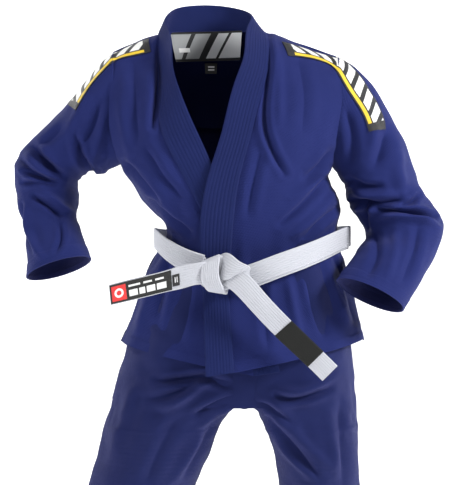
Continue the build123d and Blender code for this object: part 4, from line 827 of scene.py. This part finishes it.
g = front_panel("front_left", FRONT_LEFT, FOLDS["FRONT_LEFT"], 11)
g_fl = g
ob = build("front_left", g, THICK, [NAVY, NAVY_INSIDE_PAINTED_SHADE], facing=INSIDE)
place(ob, "root", "skirt_front", ("jacket_front_left", "skirt_front_left"))
made["front_left"] = ob

g = front_panel("front_right", FRONT_RIGHT, FOLDS["FRONT_RIGHT"], 23)
ob = build("front_right", g, THICK, [NAVY, NAVY_INSIDE_PAINTED_SHADE], facing=INSIDE)
place(ob, "root", "skirt_front", ("jacket_front_right", "skirt_front_right"))
made["front_right"] = ob

g = surface(BACK, 340, 220)
n = grid_normals(g)
if n[..., 1].mean() < 0:
    n = -n
z = g[..., 2]
mid = np.sin(np.linspace(0, math.pi, 220))[None, :]
h = wrinkles(g, (0.2, 0, 1.0), 46, 5, -2.4, 31) + np.exp(-((z - BELT_Z) / 80) ** 2) * wrinkles(g, (0, 0, 1.0), 20, 4, -3.2, 33)
h += 2.0 * wrinkles(g, (1, 0, -0.5), 60, 4, -1.0, 35)
h *= np.minimum(mid * 8, 1)
run = np.array([np.linalg.norm(np.diff(g[i:], axis=0), axis=2).mean(axis=1).sum() for i in range(len(g))])[:, None]
h += 0.9 * smooth((21 - run) / 3) - 0.7 * np.exp(-(((run - 19) / 1.3) ** 2))
h += 0.6 * smooth((run - 560) / 3) - 0.5 * np.exp(-(((run - 560) / 1.3) ** 2))
g = g + n * h[..., None]
g_back = g
ob = build("back", g, THICK, [NAVY, NAVY_INSIDE_PAINTED_SHADE], facing=INSIDE)
place(ob, "root", "skirt_back", ("jacket_back", "skirt_back"))
made["back"] = ob

# inside yoke: a smooth lining over the top of the back
g = surface([r for r in BACK[:5]], 90, 160)
n = grid_normals(g)
if n[..., 1].mean() < 0:
    n = -n
g = g - n * (THICK + 2.6)
g = g[8:, 6:-6]
ob = build("yoke", g, 1.2, [LINING], facing=INSIDE)
place(ob, "root", nodes=("yoke_lining",))
made["yoke"] = ob


# collar and lapels: one band from hem to hem, seven stitch rows
ROWS7 = [-0.66 + 0.22 * i for i in range(7)]


def wider(pairs, by):
    out = []
    for a, b in pairs:
        a, b = np.array(a), np.array(b)
        w = (b - a) / np.linalg.norm(b - a)
        out.append([a, b + w * by])
    return out


rows = wider(BAND, 2.5)
sm = surface(rows, 900, 2)
rows2 = [[sm[i, 0], sm[i, 1]] for i in range(900)]
g = np.array(rows2)
nu, nv = 900, 52
t = np.linspace(0, 1, nv)[None, :, None]
g = g[:, :1] + (g[:, 1:2] - g[:, :1]) * t
n = grid_normals(g)
# point away from the wearer all along: forwards at the front, outwards and up at the neck
ref = g - np.array([10.0, 20.0, -200.0])
sgn = np.sign((n * ref).sum(axis=2).mean(axis=1))
sgn = np.sign(np.median(sgn))
n = n * sgn
s = np.linspace(-1, 1, nv)[None, :]
h = 0.8 * (1 - s**2)
arc = np.concatenate([[0], np.cumsum(np.linalg.norm(np.diff(g[:, 25], axis=0), axis=1))])[:, None]
for c in ROWS7:
    h = h - 0.55 * np.exp(-(((s - c) / 0.030) ** 2))
h = h + 0.3 * np.abs(np.sin(math.pi * (s + 0.66) / 0.22)) * (np.abs(s) < 0.77)
h = h - 0.18 * np.abs(np.sin(math.pi * arc / 3.4)) * (np.abs(s) < 0.72)
h = h - 1.3 * smooth((np.abs(s) - 0.92) / 0.08)
h = h + wrinkles(g, (0, 0.3, 1), 60, 3, -1.0, 51)
z = g[..., 2]
lift = np.full(len(g), 3.2)
first = np.arange(len(g)) < len(g) // 2
low = first[:, None] & (z < -215)
under = smooth((-200 - z.mean(axis=1)) / 60) * first
lift = (3.2 - 4.2 * under)[:, None]
out = g + n * (h + lift)[..., None]
inner = g + n * (lift - 2.4 + 0.9 * smooth((np.abs(s) - 0.92) / 0.08))[..., None]
band_out = out
ob = build("collar_band", out, 5.0, [NAVY_BAND, NAVY_BAND], facing=None, inner=inner, outward=n)
place(ob, "root", "skirt_front", ("collar_back", "lapel_left", "lapel_right", "lapel_left_skirt", "lapel_right_skirt"))
made["band"] = ob


# -------------------------------------------------------------------- sleeves
def ring_line(rings):
    c = np.array([r[0] for r in rings], float)
    return c


def sleeve(side, rings, folds, seed):
    nu, nv = 300, 190
    g = tube_surface(rings, nu, nv)
    n = grid_normals(g, True)
    c = g[:, :-1].mean(axis=1)
    if (n * (g - c[:, None])).sum() < 0:
        n = -n
    run = np.concatenate([[0], np.cumsum(np.linalg.norm(np.diff(c, axis=0), axis=1))])
    total = run[-1]
    facing = smooth((-n[..., 1] + 0.15) / 0.5)
    h = 2.2 * fold_field(g, folds) * facing
    e = {"right": np.array([-276.2, 20.0, -274.2]), "left": np.array([332.9, 14.0, -302.4])}[side]
    near = np.exp(-((np.linalg.norm(c - e, axis=1) / 95) ** 2))[:, None]
    inner_side = {"right": np.array([-200.0, 0, -270.0]), "left": np.array([270.0, 0, -330.0])}[side]
    pit = np.exp(-((np.linalg.norm(g - inner_side, axis=2) / 80) ** 2))
    u = run[:, None] / 22.0
    ang = np.linspace(0, 2 * math.pi, nv)[None, :]
    ringy = np.stack([np.broadcast_to(u, (nu, nv)), np.broadcast_to(2.2 * np.cos(ang), (nu, nv)), np.broadcast_to(2.2 * np.sin(ang), (nu, nv))], -1)
    back = 1 - 0.6 * facing
    h = h + 4.2 * near * noise(ringy, seed) * back + 3.0 * pit * noise(ringy * np.array([1.5, 1, 1]), seed + 2)
    h = h + wrinkles(g, (0.5, 0.1, 1.0), 36, 4, -2.2, seed + 4) * 0.9
    h = h + wrinkles(g, (1, 0.5, -0.6), 22, 3, -1.0, seed + 6)
    ends = smooth(run / 30)[:, None] * smooth((total - run) / 22)[:, None]
    h = h * ends
    cuff = (total - run)[:, None]
    h = h + 1.0 * smooth((30 - cuff) / 3) - 0.8 * np.exp(-(((cuff - 27.5) / 1.5) ** 2)) - 0.6 * np.exp(-(((cuff - 8) / 1.5) ** 2))
    seam = np.minimum(ang, 2 * math.pi - ang) * 70
    h = h - 0.8 * np.exp(-((seam / 2.0) ** 2)) * smooth((run - 20) / 20)[:, None]
    return g + n * h[..., None], n, run, c


def split_tube(name, g, k, first, second, mats, thick, overlap=0):
    """The tube in two pieces that meet without a step."""
    out = []
    full = grid_normals(g, True)
    c = g[:, :-1].mean(axis=1)
    if (full * (g - c[:, None])).sum() < 0:
        full = -full
    a = build(name + first, g[: k + 1], thick, mats, closed=True, custom=full[: k + 1])
    b = build(name + second, g[k:], thick, mats, closed=True, custom=full[k:], v_start=float(lengths(g[: k + 1])[0][-1]))
    return a, b


for side, rings, hinge, elbow in (
    ("right", SLEEVE_RIGHT, (-166.2, 4.0, -140.8), (-276.2, 20.0, -274.2)),
    ("left", SLEEVE_LEFT, (229.0, 4.0, -140.8), (332.9, 14.0, -302.4)),
):
    g, n, run, c = sleeve(side, rings, FOLDS["SLEEVE_" + side.upper()], 61 if side == "right" else 71)
    e = np.array(elbow)
    k = int(np.argmin(np.linalg.norm(c - (np.array(hinge) + (e - np.array(hinge)) * 0.62), axis=1)))
    a, b = split_tube("arm_" + side, g, k, "_upper", "_lower", [NAVY, NAVY_INSIDE_PAINTED_SHADE], THICK)
    s0 = c[0] + (c[k] - c[0]) * 0.05
    s1 = c[0] + (c[k] - c[0]) * 0.80
    place(a, "root", "upper_arm_" + side, (f"sleeve_{side}_head", f"sleeve_{side}_upper"))
    kk = min(len(c) - 1, int(k + (len(c) - k) * 0.55))
    d1 = c[k] - c[max(k - 25, 0)]
    d2 = c[kk] - c[k]
    d = d1 / np.linalg.norm(d1) * 0.9 + d2 / np.linalg.norm(d2) * 0.6
    d /= np.linalg.norm(d)
    place(b, "upper_arm_" + side, "forearm_" + side, (f"sleeve_{side}_forearm", f"cuff_tape_{side}"))
    made["sleeve_" + side] = (a, b)
    made["arm_" + side] = (tuple(s0 / 1000), tuple(s1 / 1000))
    # woven tape inside the cuff
    m = len(g)
    inner = g[m - 26 : m - 1]
    nn = grid_normals(g, True)
    cc = g[:, :-1].mean(axis=1)
    if (nn * (g - cc[:, None])).sum() < 0:
        nn = -nn
    t = inner - nn[m - 26 : m - 1] * (THICK + 0.3)
    ob = build("cuff_tape_%s_inside" % side, t, 1.0, [TAPE], closed=True)
    place(ob, "forearm_" + side)


# ------------------------------------------------------------------- trousers
def trouser(side, rows, folds, seed):
    nu, nv = 420, 170
    ang = np.linspace(0, 2 * math.pi, nv)
    lines = []
    for x, y, z, wx, wz, d, sq in rows:
        if z < -1100:
            z = -1100 + (z + 1100) * 1.133
        n_in = 2 + 6 * sq
        ca, sa = np.cos(ang), np.sin(ang)
        p = np.where(ca > 0, 2 / n_in, 1.0)
        px = np.sign(ca) * np.abs(ca) ** p
        py = np.sign(sa) * np.abs(sa) ** np.where(ca > 0, 2 / n_in, 1.0)
        lines.append(np.stack([x + px * wx, y - py * d, z + px * wz], -1))
    lines = np.array(lines)
    # even spacing round each ring
    even = []
    for l in lines:
        t = chord(l[:, None, :])
        even.append(np.stack([np.interp(np.linspace(0, 1, nv), t, l[:, i]) for i in range(3)], -1))
    lines = np.array(even)
    t = chord(lines)
    g = spline(lines, t, np.linspace(0, 1, nu))
    n = grid_normals(g, True)
    c = g[:, :-1].mean(axis=1)
    if (n * (g - c[:, None])).sum() < 0:
        n = -n
    facing = smooth((-n[..., 1] + 0.2) / 0.5)
    h = 2.2 * fold_field(g, folds) * facing
    z = g[..., 2]
    h = h + wrinkles(g, (0.25 if side == "left" else -0.3, 0, 1.0), 42, 4, -2.6, seed)
    h = h + 0.8 * wrinkles(g, (1, 0, 0.6 if side == "left" else -0.4), 26, 3, -2.0, seed + 1)
    crotch = np.exp(-((z + 715) / 60) ** 2)
    h = h + crotch * wrinkles(g, (1, 0.2, 0.5 if side == "right" else -0.5), 16, 4, -2.4, seed + 2)
    knee = np.exp(-((z + 1025) / 110) ** 2)
    h = h + knee * wrinkles(g, (1, 0, 0.25), 20, 4, -3.6, seed + 3)
    ankle = np.exp(-((z + 1330) / 90) ** 2)
    h = h + ankle * wrinkles(g, (1, 0, 0.1), 18, 4, -3.0, seed + 4)
    total = np.concatenate([[0], np.cumsum(np.linalg.norm(np.diff(c, axis=0), axis=1))])
    left = (total[-1] - total)[:, None]
    h = h * smooth(left / 40)
    h = h + 0.9 * smooth((34 - left) / 3) - 0.7 * np.exp(-(((left - 32) / 1.5) ** 2))
    # knee patch: a second layer, quilted across, on the front
    x = g[..., 0]
    patch = smooth((-z - 742) / 3) * smooth((1150 + z) / 3) * smooth((-n[..., 1] - 0.12) / 0.06)
    h = h + 1.1 * patch - patch * 0.5 * np.exp(-((((-z) % 9.0) - 4.5) / 1.0) ** 2)
    seam = np.abs(((np.arctan2(n[..., 1], n[..., 0] * (1 if side == "left" else -1))) * 70))
    h = h - 0.9 * np.exp(-((seam / 2.2) ** 2))
    return g + n * h[..., None], total, c


for side, rows in (("right", TROUSER_RIGHT), ("left", TROUSER_LEFT)):
    g, run, c = trouser(side, rows, FOLDS["TROUSER_" + side.upper()], 81 if side == "right" else 91)
    k = int(np.argmin(np.abs(c[:, 2] + 885)))
    a, b = split_tube("leg_" + side, g, k, "_upper", "_lower", [TROUSER, TROUSER_INSIDE_PAINTED_SHADE], 1.6)
    place(a, "root", "thigh_" + side, (f"trousers_{side}_top", f"trousers_{side}_thigh", f"knee_patch_{side}"))
    top = float(g[k, :, 2].min())
    place(b, "thigh_" + side, "shin_" + side, (f"trousers_{side}_shin", f"ankle_hem_{side}"))
    made["trousers_" + side] = (a, b)


# ----------------------------------------------------------------------- belt
ROWS8 = [-0.77 + 0.22 * i for i in range(8)]
BELT_SIDE = (60.0, 0.0, -420.0)


def strap(name, rows, nu=160, nv=52, off=0.0, seed=5, thick=4.0, side=BELT_SIDE, mats=None, wave=1.0, zoff=0.0, grow=0.0):
    rows = [[np.array(a, float) + np.array([0, 0, zoff]), np.array(b, float) + np.array([0, 0, zoff])] for a, b in rows]
    if grow:
        rows = [[a + (a - b) / np.linalg.norm(a - b) * grow, b + (b - a) / np.linalg.norm(b - a) * grow] for a, b in rows]
    g = surface(rows, nu, nv)
    n = grid_normals(g)
    s = np.sign((n * (g - np.array(side))).sum())
    n = n * s
    t = np.linspace(-1, 1, nv)[None, :]
    arc = np.concatenate([[0], np.cumsum(np.linalg.norm(np.diff(g[:, nv // 2], axis=0), axis=1))])[:, None]
    h = 0.5 * (1 - t**2)
    for c in ROWS8:
        h = h - 0.45 * np.exp(-(((t - c) / 0.035) ** 2))
    h = h + 0.25 * np.abs(np.sin(math.pi * (t + 0.77) / 0.22)) * (np.abs(t) < 0.9)
    h = h - 0.15 * np.abs(np.sin(math.pi * arc / 3.2)) * (np.abs(t) < 0.9)
    h = h - 1.5 * smooth((np.abs(t) - 0.94) / 0.06)
    h = h + wave * 0.8 * noise(np.stack([np.broadcast_to(arc / 30, (nu, nv)), np.broadcast_to(t, (nu, nv)), np.full((nu, nv), seed * 1.7)], -1), seed)
    out = g + n * (h + off)[..., None]
    inner = g + n * (off - thick + 1.3 * smooth((np.abs(t) - 0.94) / 0.06))[..., None]
    ob = build(name, out, thick, mats or [BELT], inner=inner, outward=n)
    return ob, out


fr, _ = strap("belt_wrap_right", BELT_FRONT_RIGHT, off=5.2, seed=3)
place(fr, "root", nodes=("belt_front_right",))
fl, _ = strap("belt_wrap_left", BELT_FRONT_LEFT, off=5.2, seed=4)
place(fl, "root", nodes=("belt_front_left",))
bb, _ = strap("belt_wrap_back", BELT_BACK, nu=300, off=5.2, seed=6)
place(bb, "root", nodes=("belt_back",))
# the first turn lies under the outer one and shows as a second edge
fr2, _ = strap("belt_under_right", BELT_FRONT_RIGHT, off=0.6, seed=7, zoff=-5.0)
place(fr2, "root")
fl2, _ = strap("belt_under_left", BELT_FRONT_LEFT, off=0.6, seed=8, zoff=-5.5)
place(fl2, "root")
bb2, _ = strap("belt_under_back", BELT_BACK, nu=300, off=0.6, seed=9, zoff=-4.0)
place(bb2, "root")


def px(x, y, depth):
    """Point in mm at a depth, from its place in the front elevation grid."""
    f = 2105.3
    cam = np.array([38.0, -3984.78, -52.85])
    el = math.radians(5)
    fwd = np.array([0, math.cos(el), -math.sin(el)])
    up = np.array([0, math.sin(el), math.cos(el)])
    d = fwd + np.array([1.0, 0, 0]) * (x - 225) / f - up * (y - 242.5) / f
    return cam + d * (depth - cam[1]) / d[1]


def pairs(lst):
    return [[px(a[0], a[1], a[2]), px(b[0], b[1], b[2])] for a, b in lst]


# The knot: a lower fold, the wrap that goes over it, and a flap to the right.
KSIDE = (34.0, -60.0, -445.0)
k1, _ = strap("knot_core", pairs([
    ((200, 262, -150), (199, 284, -150)),
    ((206, 259, -163), (205, 288, -163)),
    ((216, 256, -171), (214, 291, -171)),
    ((228, 257, -171), (227, 290, -171)),
    ((240, 262, -165), (240, 284, -165)),
    ((250, 266, -152), (250, 281, -152)),
]), nu=110, off=0, seed=12, side=KSIDE, thick=8.0)
place(k1, "root", nodes=("belt_knot",))
k2, _ = strap("knot_wrap", pairs([
    ((206.0, 262.5, -146), (222.5, 256.0, -146)),
    ((203.2, 261.0, -166), (219.0, 254.5, -166)),
    ((201.6, 264.5, -178), (219.4, 259.5, -179)),
    ((200.8, 272.0, -182), (218.6, 269.0, -184)),
    ((201.0, 280.0, -182), (220.0, 280.0, -184)),
    ((203.5, 286.5, -176), (223.5, 289.0, -178)),
    ((208.0, 291.5, -160), (227.0, 294.5, -160)),
    ((212.0, 291.5, -146), (228.0, 292.0, -146)),
]), nu=130, off=0, seed=13, side=KSIDE, thick=4.5)
place(k2, "root", nodes=("belt_knot_wrap",))
k3, _ = strap("knot_flap", pairs([
    ((221.0, 254.0, -160), (218.5, 268.0, -160)),
    ((226.0, 252.6, -173), (219.5, 275.0, -174)),
    ((232.5, 255.8, -181), (223.5, 280.0, -181)),
    ((239.0, 261.0, -183), (229.0, 279.2, -183)),
    ((246.5, 265.0, -181), (236.0, 275.4, -182)),
    ((251.0, 268.5, -172), (244.5, 272.5, -174)),
]), nu=110, off=0, seed=14, side=KSIDE, thick=4.5)
place(k3, "root")

# hanging ends, from the knot out
t1, tl = strap("belt_end_left_strap", pairs([
    ((216.0, 262.0, -168), (216.0, 283.0, -168)),
    ((206.0, 261.6, -177), (204.0, 284.3, -177)),
    ((198.0, 262.8, -180), (195.0, 285.2, -180)),
    ((185.0, 264.9, -180), (185.0, 287.9, -180)),
    ((168.0, 269.9, -180), (169.5, 291.4, -180)),
    ((140.0, 277.0, -180), (142.5, 298.0, -180)),
    ((108.8, 284.9, -180), (110.8, 305.4, -180)),
]), nu=260, off=0, seed=15, side=(0, 0, -450), thick=4.0)
place(t1, "belt_end_left", nodes=("belt_tail_left",))
t2, tr = strap("belt_end_right_strap", pairs([
    ((226.0, 264.0, -164), (220.0, 282.0, -164)),
    ((236.0, 267.0, -174), (223.0, 284.0, -174)),
    ((246.5, 273.2, -180), (230.5, 289.5, -180)),
    ((262.0, 289.6, -182), (246.5, 305.5, -182)),
    ((288.0, 317.6, -181), (271.5, 332.2, -181)),
    ((313.0, 341.9, -181), (297.5, 356.6, -181)),
    ((337.6, 366.0, -181), (322.4, 381.0, -181)),
]), nu=300, off=0, seed=16, side=(0, 0, -450), thick=4.0)
place(t2, "belt_end_right", nodes=("belt_tail_right",))


def on_strap(name, out, u0, u1, v0, v1, lift, thick, mats, nu=90, nv=44):
    """A strip laid over part of a surface already made."""
    fu = np.linspace(u0, u1, nu) * (out.shape[0] - 1)
    fv = np.linspace(v0, v1, nv) * (out.shape[1] - 1)
    sm = out.copy()
    for _ in range(3):
        sm[:, 1:-1] = (sm[:, :-2] + sm[:, 1:-1] * 2 + sm[:, 2:]) / 4
    i0 = np.clip(np.floor(fu).astype(int), 0, out.shape[0] - 2)
    j0 = np.clip(np.floor(fv).astype(int), 0, out.shape[1] - 2)
    du, dv = (fu - i0)[:, None, None], (fv - j0)[None, :, None]
    a = sm[i0][:, j0] * (1 - du) * (1 - dv) + sm[i0 + 1][:, j0] * du * (1 - dv) + sm[i0][:, j0 + 1] * (1 - du) * dv + sm[i0 + 1][:, j0 + 1] * du * dv
    n = grid_normals(a)
    if n[..., 1].mean() > 0:
        n = -n
    e = np.minimum(np.minimum(np.arange(nu), np.arange(nu)[::-1])[:, None], np.minimum(np.arange(nv), np.arange(nv)[::-1])[None, :])
    h = lift + thick - 0.5 * np.exp(-((e - 2.0) / 0.8) ** 2) - 0.4 * (e < 1)
    ob = build(name, a + n * h[..., None], thick, mats, inner=a + n * (lift - 0.8), outward=n)
    return ob


def arc_len(out):
    return float(np.linalg.norm(np.diff(out[:, out.shape[1] // 2], axis=0), axis=1).sum())


L = arc_len(tl)
u_lab = 1 - 116.0 / L
lab = on_strap("belt_label_patch", tl, u_lab, 0.995, 0.05, 0.95, 0.5, 1.0, [belt_label_mat(0.116, 0.036)])
place(lab, "belt_end_left", nodes=("belt_label",))
tag = on_strap("belt_tag", tl, u_lab - 15.0 / L, u_lab - 2.0 / L, 0.30, 0.82, 0.5, 0.6, [tag_mat("belt_tag", 0.020, 0.013)], 20, 24)
place(tag, "belt_end_left", nodes=("belt_size_tag",))
L2 = arc_len(tr)
bar = on_strap("rank_bar", tr, 0.565, 0.865, 0.0, 1.0, 0.4, 1.2, [BLACK], 120, 60)
place(bar, "belt_end_right", nodes=("belt_rank_bar",))

# --------------------------------------------------------- labels and shoulders
g = surface([LABEL_TOP, LABEL_BOTTOM], 70, 150)
n = grid_normals(g)
if n[..., 1].mean() > 0:
    n = -n
e = np.minimum(np.minimum(np.arange(70), np.arange(70)[::-1])[:, None], np.minimum(np.arange(150), np.arange(150)[::-1])[None, :])
g = g + n * (1.5 + wrinkles(g, (0, 0, 1), 40, 3, -1.0, 7) - 0.5 * np.exp(-((e - 2.5) ** 2)))[..., None]
ob = build("neck_label_patch", g, 1.0, [neck_label_mat(0.140, 0.056)], outward=n)
place(ob, "root", nodes=("neck_label",))
made["neck_label"] = ob
lo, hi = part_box("neck_size_tag")
lo, hi = np.array(lo) * 1000, np.array(hi) * 1000
tg = surface([[(lo[0], lo[1], hi[2]), ((lo[0] + hi[0]) / 2, lo[1] - 1, hi[2]), (hi[0], lo[1], hi[2])], [(lo[0] + 1, lo[1] - 2, lo[2]), ((lo[0] + hi[0]) / 2, lo[1] - 3, lo[2]), (hi[0] - 1, lo[1] - 2, lo[2])]], 16, 20)
ob = build("neck_tag", tg, 0.8, [tag_mat("neck_tag", (hi[0] - lo[0]) / 1000, (hi[2] - lo[2]) / 1000)], outward=np.broadcast_to(np.array([0, -1.0, 0]), tg.shape))
place(ob, "root", nodes=("neck_size_tag",))

def strip_over(front, width, obs, nu=130, nv=40):
    """A strip laid over the cloth, from a traced front edge back over the shoulder."""
    trees = [BVHTree.FromPolygons([tuple(v.co) for v in o.data.vertices], [tuple(p.vertices) for p in o.data.polygons]) for o in obs]

    def cast(p, d, reach):
        best = None
        for tree in trees:
            hit = tree.ray_cast(Vector(p / 1000), Vector(d), reach)
            if hit[0] is not None and (best is None or hit[3] < best[3]):
                best = hit
        return best

    cam = np.array([38.0, -3984.78, -52.85])
    q = np.array([[a, b, 0.0] for a, b in front])
    q = spline(q, chord(q[:, None, :]), np.linspace(0, 1, nu))
    p, n = np.zeros((nu, 3)), np.zeros((nu, 3))
    for i in range(nu):
        d = px(q[i, 0], q[i, 1], 0.0) - cam
        hit = cast(cam, d / np.linalg.norm(d), 8.0)
        if hit is None:
            p[i], n[i] = p[i - 1], n[i - 1]
        else:
            p[i], n[i] = np.array(hit[0]) * 1000, np.array(hit[1])

    def even(a, times):
        for _ in range(times):
            e = np.concatenate([2 * a[:1] - a[1:2], a, 2 * a[-1:] - a[-2:-1]])
            a = (e[:-2] + 2 * e[1:-1] + e[2:]) / 4
        return a

    p = even(p, 8)
    n = even(n, 24)
    n /= np.linalg.norm(n, axis=1, keepdims=True)
    cols = [p]
    step = width / (nv - 1)
    for _ in range(nv - 1):
        t = even(np.gradient(p, axis=0), 20)
        side = np.cross(n, t)
        side /= np.linalg.norm(side, axis=1, keepdims=True)
        if (side @ np.array([0, 0.6, 0.8])).mean() < 0:
            side = -side
        new, nn = p + side * step, n.copy()
        for i in range(nu):
            hit = cast(new[i] + n[i] * 9, -n[i], 0.018)
            if hit is not None:
                new[i], nn[i] = np.array(hit[0]) * 1000, np.array(hit[1])
        p = even(new, 6)
        n = even(0.75 * n + 0.25 * nn, 10)
        n /= np.linalg.norm(n, axis=1, keepdims=True)
        cols.append(p)
    return np.stack(cols, axis=1)


TAPE_FRONT = {
    "right": [(150.9, 52.0), (140, 55), (123.6, 58.5), (112.7, 63), (103.6, 71.5), (92.7, 84), (84, 97), (76, 110.5)],
    "left": [(288, 56), (304, 58), (320, 61.5), (332, 67), (339, 76), (347, 90), (359, 108), (366, 122), (369, 132)],
}
for side in ("right", "left"):
    g = strip_over(TAPE_FRONT[side], 46.0, [made["front_" + side], made["sleeve_" + side][0], made["sleeve_" + side][1], made["back"]])
    n = grid_normals(g)
    if n[..., 2].mean() < 0:
        n = -n
    nu, nv = g.shape[:2]
    e = np.minimum(np.minimum(np.arange(nu), np.arange(nu)[::-1])[:, None], np.minimum(np.arange(nv), np.arange(nv)[::-1])[None, :])
    g2 = g + n * (2.0 - 0.4 * np.exp(-((e - 2.5) ** 2)) - 0.4 * (e < 1))[..., None]
    long_ = float(np.linalg.norm(np.diff(g[:, nv // 2], axis=0), axis=1).sum()) / 1000
    ob = build("shoulder_tape_" + side, g2, 1.4, [patch_mat(0.046, long_)], outward=n)
    made["tape_" + side] = ob
    s0, s1 = made["arm_" + side]
    place(ob, "root", "upper_arm_" + side, nodes=("shoulder_patch_" + side,))

# ------------------------------------------------------ waist of the trousers
for node, name in (("trousers_waistband", "waistband"), ("trousers_seat", "seat"), ("trousers_crotch_gusset", "gusset")):
    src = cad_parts[node]
    mesh = src.data.copy()
    mesh.name = name
    ob = bpy.data.objects.new(name, mesh)
    ob.matrix_world = src.matrix_world.copy()
    bpy.context.scene.collection.objects.link(ob)
    if not mesh.uv_layers.get("cloth"):
        uv = mesh.uv_layers.new(name="cloth")
        lv = np.zeros(len(mesh.loops), np.int32)
        mesh.loops.foreach_get("vertex_index", lv)
        co = np.zeros(len(mesh.vertices) * 3)
        mesh.vertices.foreach_get("co", co)
        w = np.array(src.matrix_world)
        co = co.reshape(-1, 3) @ w[:3, :3].T + w[:3, 3]
        uv.data.foreach_set("uv", np.stack([co[lv][:, 0] + co[lv][:, 1], co[lv][:, 2]], -1).astype(np.float32).ravel())
    mesh.materials.clear()
    mesh.materials.append(TROUSER)
    place(ob, "root", nodes=(node,))

# ------------------------------------------------------------ camera and light
scene = bpy.context.scene
scene.view_settings.view_transform = "Standard"
cam = bpy.data.cameras.new("camera")
cam.lens, cam.sensor_width, cam.sensor_fit = 156.27, 36, "AUTO"
cam.clip_end = 50
co = bpy.data.objects.new("camera", cam)
co.location = (0.038, -3.98478, -0.05285)
co.rotation_euler = (math.radians(85), 0, 0)
scene.collection.objects.link(co)
scene.camera = co


def light(name, at, target, size, power, colour=(1, 1, 1)):
    d = bpy.data.lights.new(name, "AREA")
    d.size, d.energy, d.color = size, power, colour
    o = bpy.data.objects.new(name, d)
    o.location = at
    v = np.array(target) - np.array(at)
    v = v / np.linalg.norm(v)
    o.rotation_euler = (math.acos(-v[2]), 0, math.atan2(v[1], v[0]) - math.pi / 2)
    scene.collection.objects.link(o)
    return o


key = light("key", (2.5, -1.2, 1.1), (0.1, 0, -0.5), 0.8, 130)
fill = light("fill", (-2.6, -1.3, 0.5), (-0.1, 0, -0.5), 0.8, 44)
top = light("top", (-0.3, -0.6, 2.3), (0, 0, -0.3), 0.8, 24)
rear = light("rear", (-2.4, 2.8, 1.3), (0, 0, -0.5), 1.0, 60)
rear2 = light("rear_fill", (2.8, 3.0, 0.6), (0, 0, -0.7), 1.0, 35)
world = bpy.data.worlds.new("world")
scene.world = world
world.use_nodes = True
world.node_tree.nodes["Background"].inputs[0].default_value = (1, 1, 1, 1)
world.node_tree.nodes["Background"].inputs[1].default_value = 0.14

# pale floor that curves up behind
verts, faces = [], []
prof = [(-11.0, -1.468)] + [(10.0 + 0.9 * math.sin(a), -1.468 + 0.9 * (1 - math.cos(a))) for a in np.linspace(0, math.pi / 2, 24)] + [(10.9, 6.0)]
for y, z in prof:
    verts += [(-11.0, y, z), (11.0, y, z)]
for i in range(len(prof) - 1):
    faces.append((2 * i, 2 * i + 1, 2 * i + 3, 2 * i + 2))
sm_ = bpy.data.meshes.new("floor")
sm_.from_pydata(verts, [], faces)
sm_.polygons.foreach_set("use_smooth", [True] * len(faces))
fm = bpy.data.materials.new("floor")
fm.use_nodes = True
fm.node_tree.nodes["Principled BSDF"].inputs["Base Color"].default_value = (0.9, 0.9, 0.9, 1)
fm.node_tree.nodes["Principled BSDF"].inputs["Emission Color"].default_value = (1, 1, 1, 1)
fm.node_tree.nodes["Principled BSDF"].inputs["Emission Strength"].default_value = 0.85
fm.node_tree.nodes["Principled BSDF"].inputs["Roughness"].default_value = 0.95
sm_.materials.append(fm)
fo = bpy.data.objects.new("floor", sm_)
scene.collection.objects.link(fo)

# ------------------------------------------------------------------- soft list
made.update(wrap_right=fr, wrap_left=fl, wrap_back=bb, under_right=fr2, under_left=fl2, under_back=bb2, end_left=t1, end_right=t2, belt_label=lab)
made["arm_upper_right"], made["arm_lower_right"] = made["sleeve_right"]
made["arm_upper_left"], made["arm_lower_left"] = made["sleeve_left"]
made["leg_upper_right"], made["leg_lower_right"] = made["trousers_right"]
made["leg_upper_left"], made["leg_lower_left"] = made["trousers_left"]
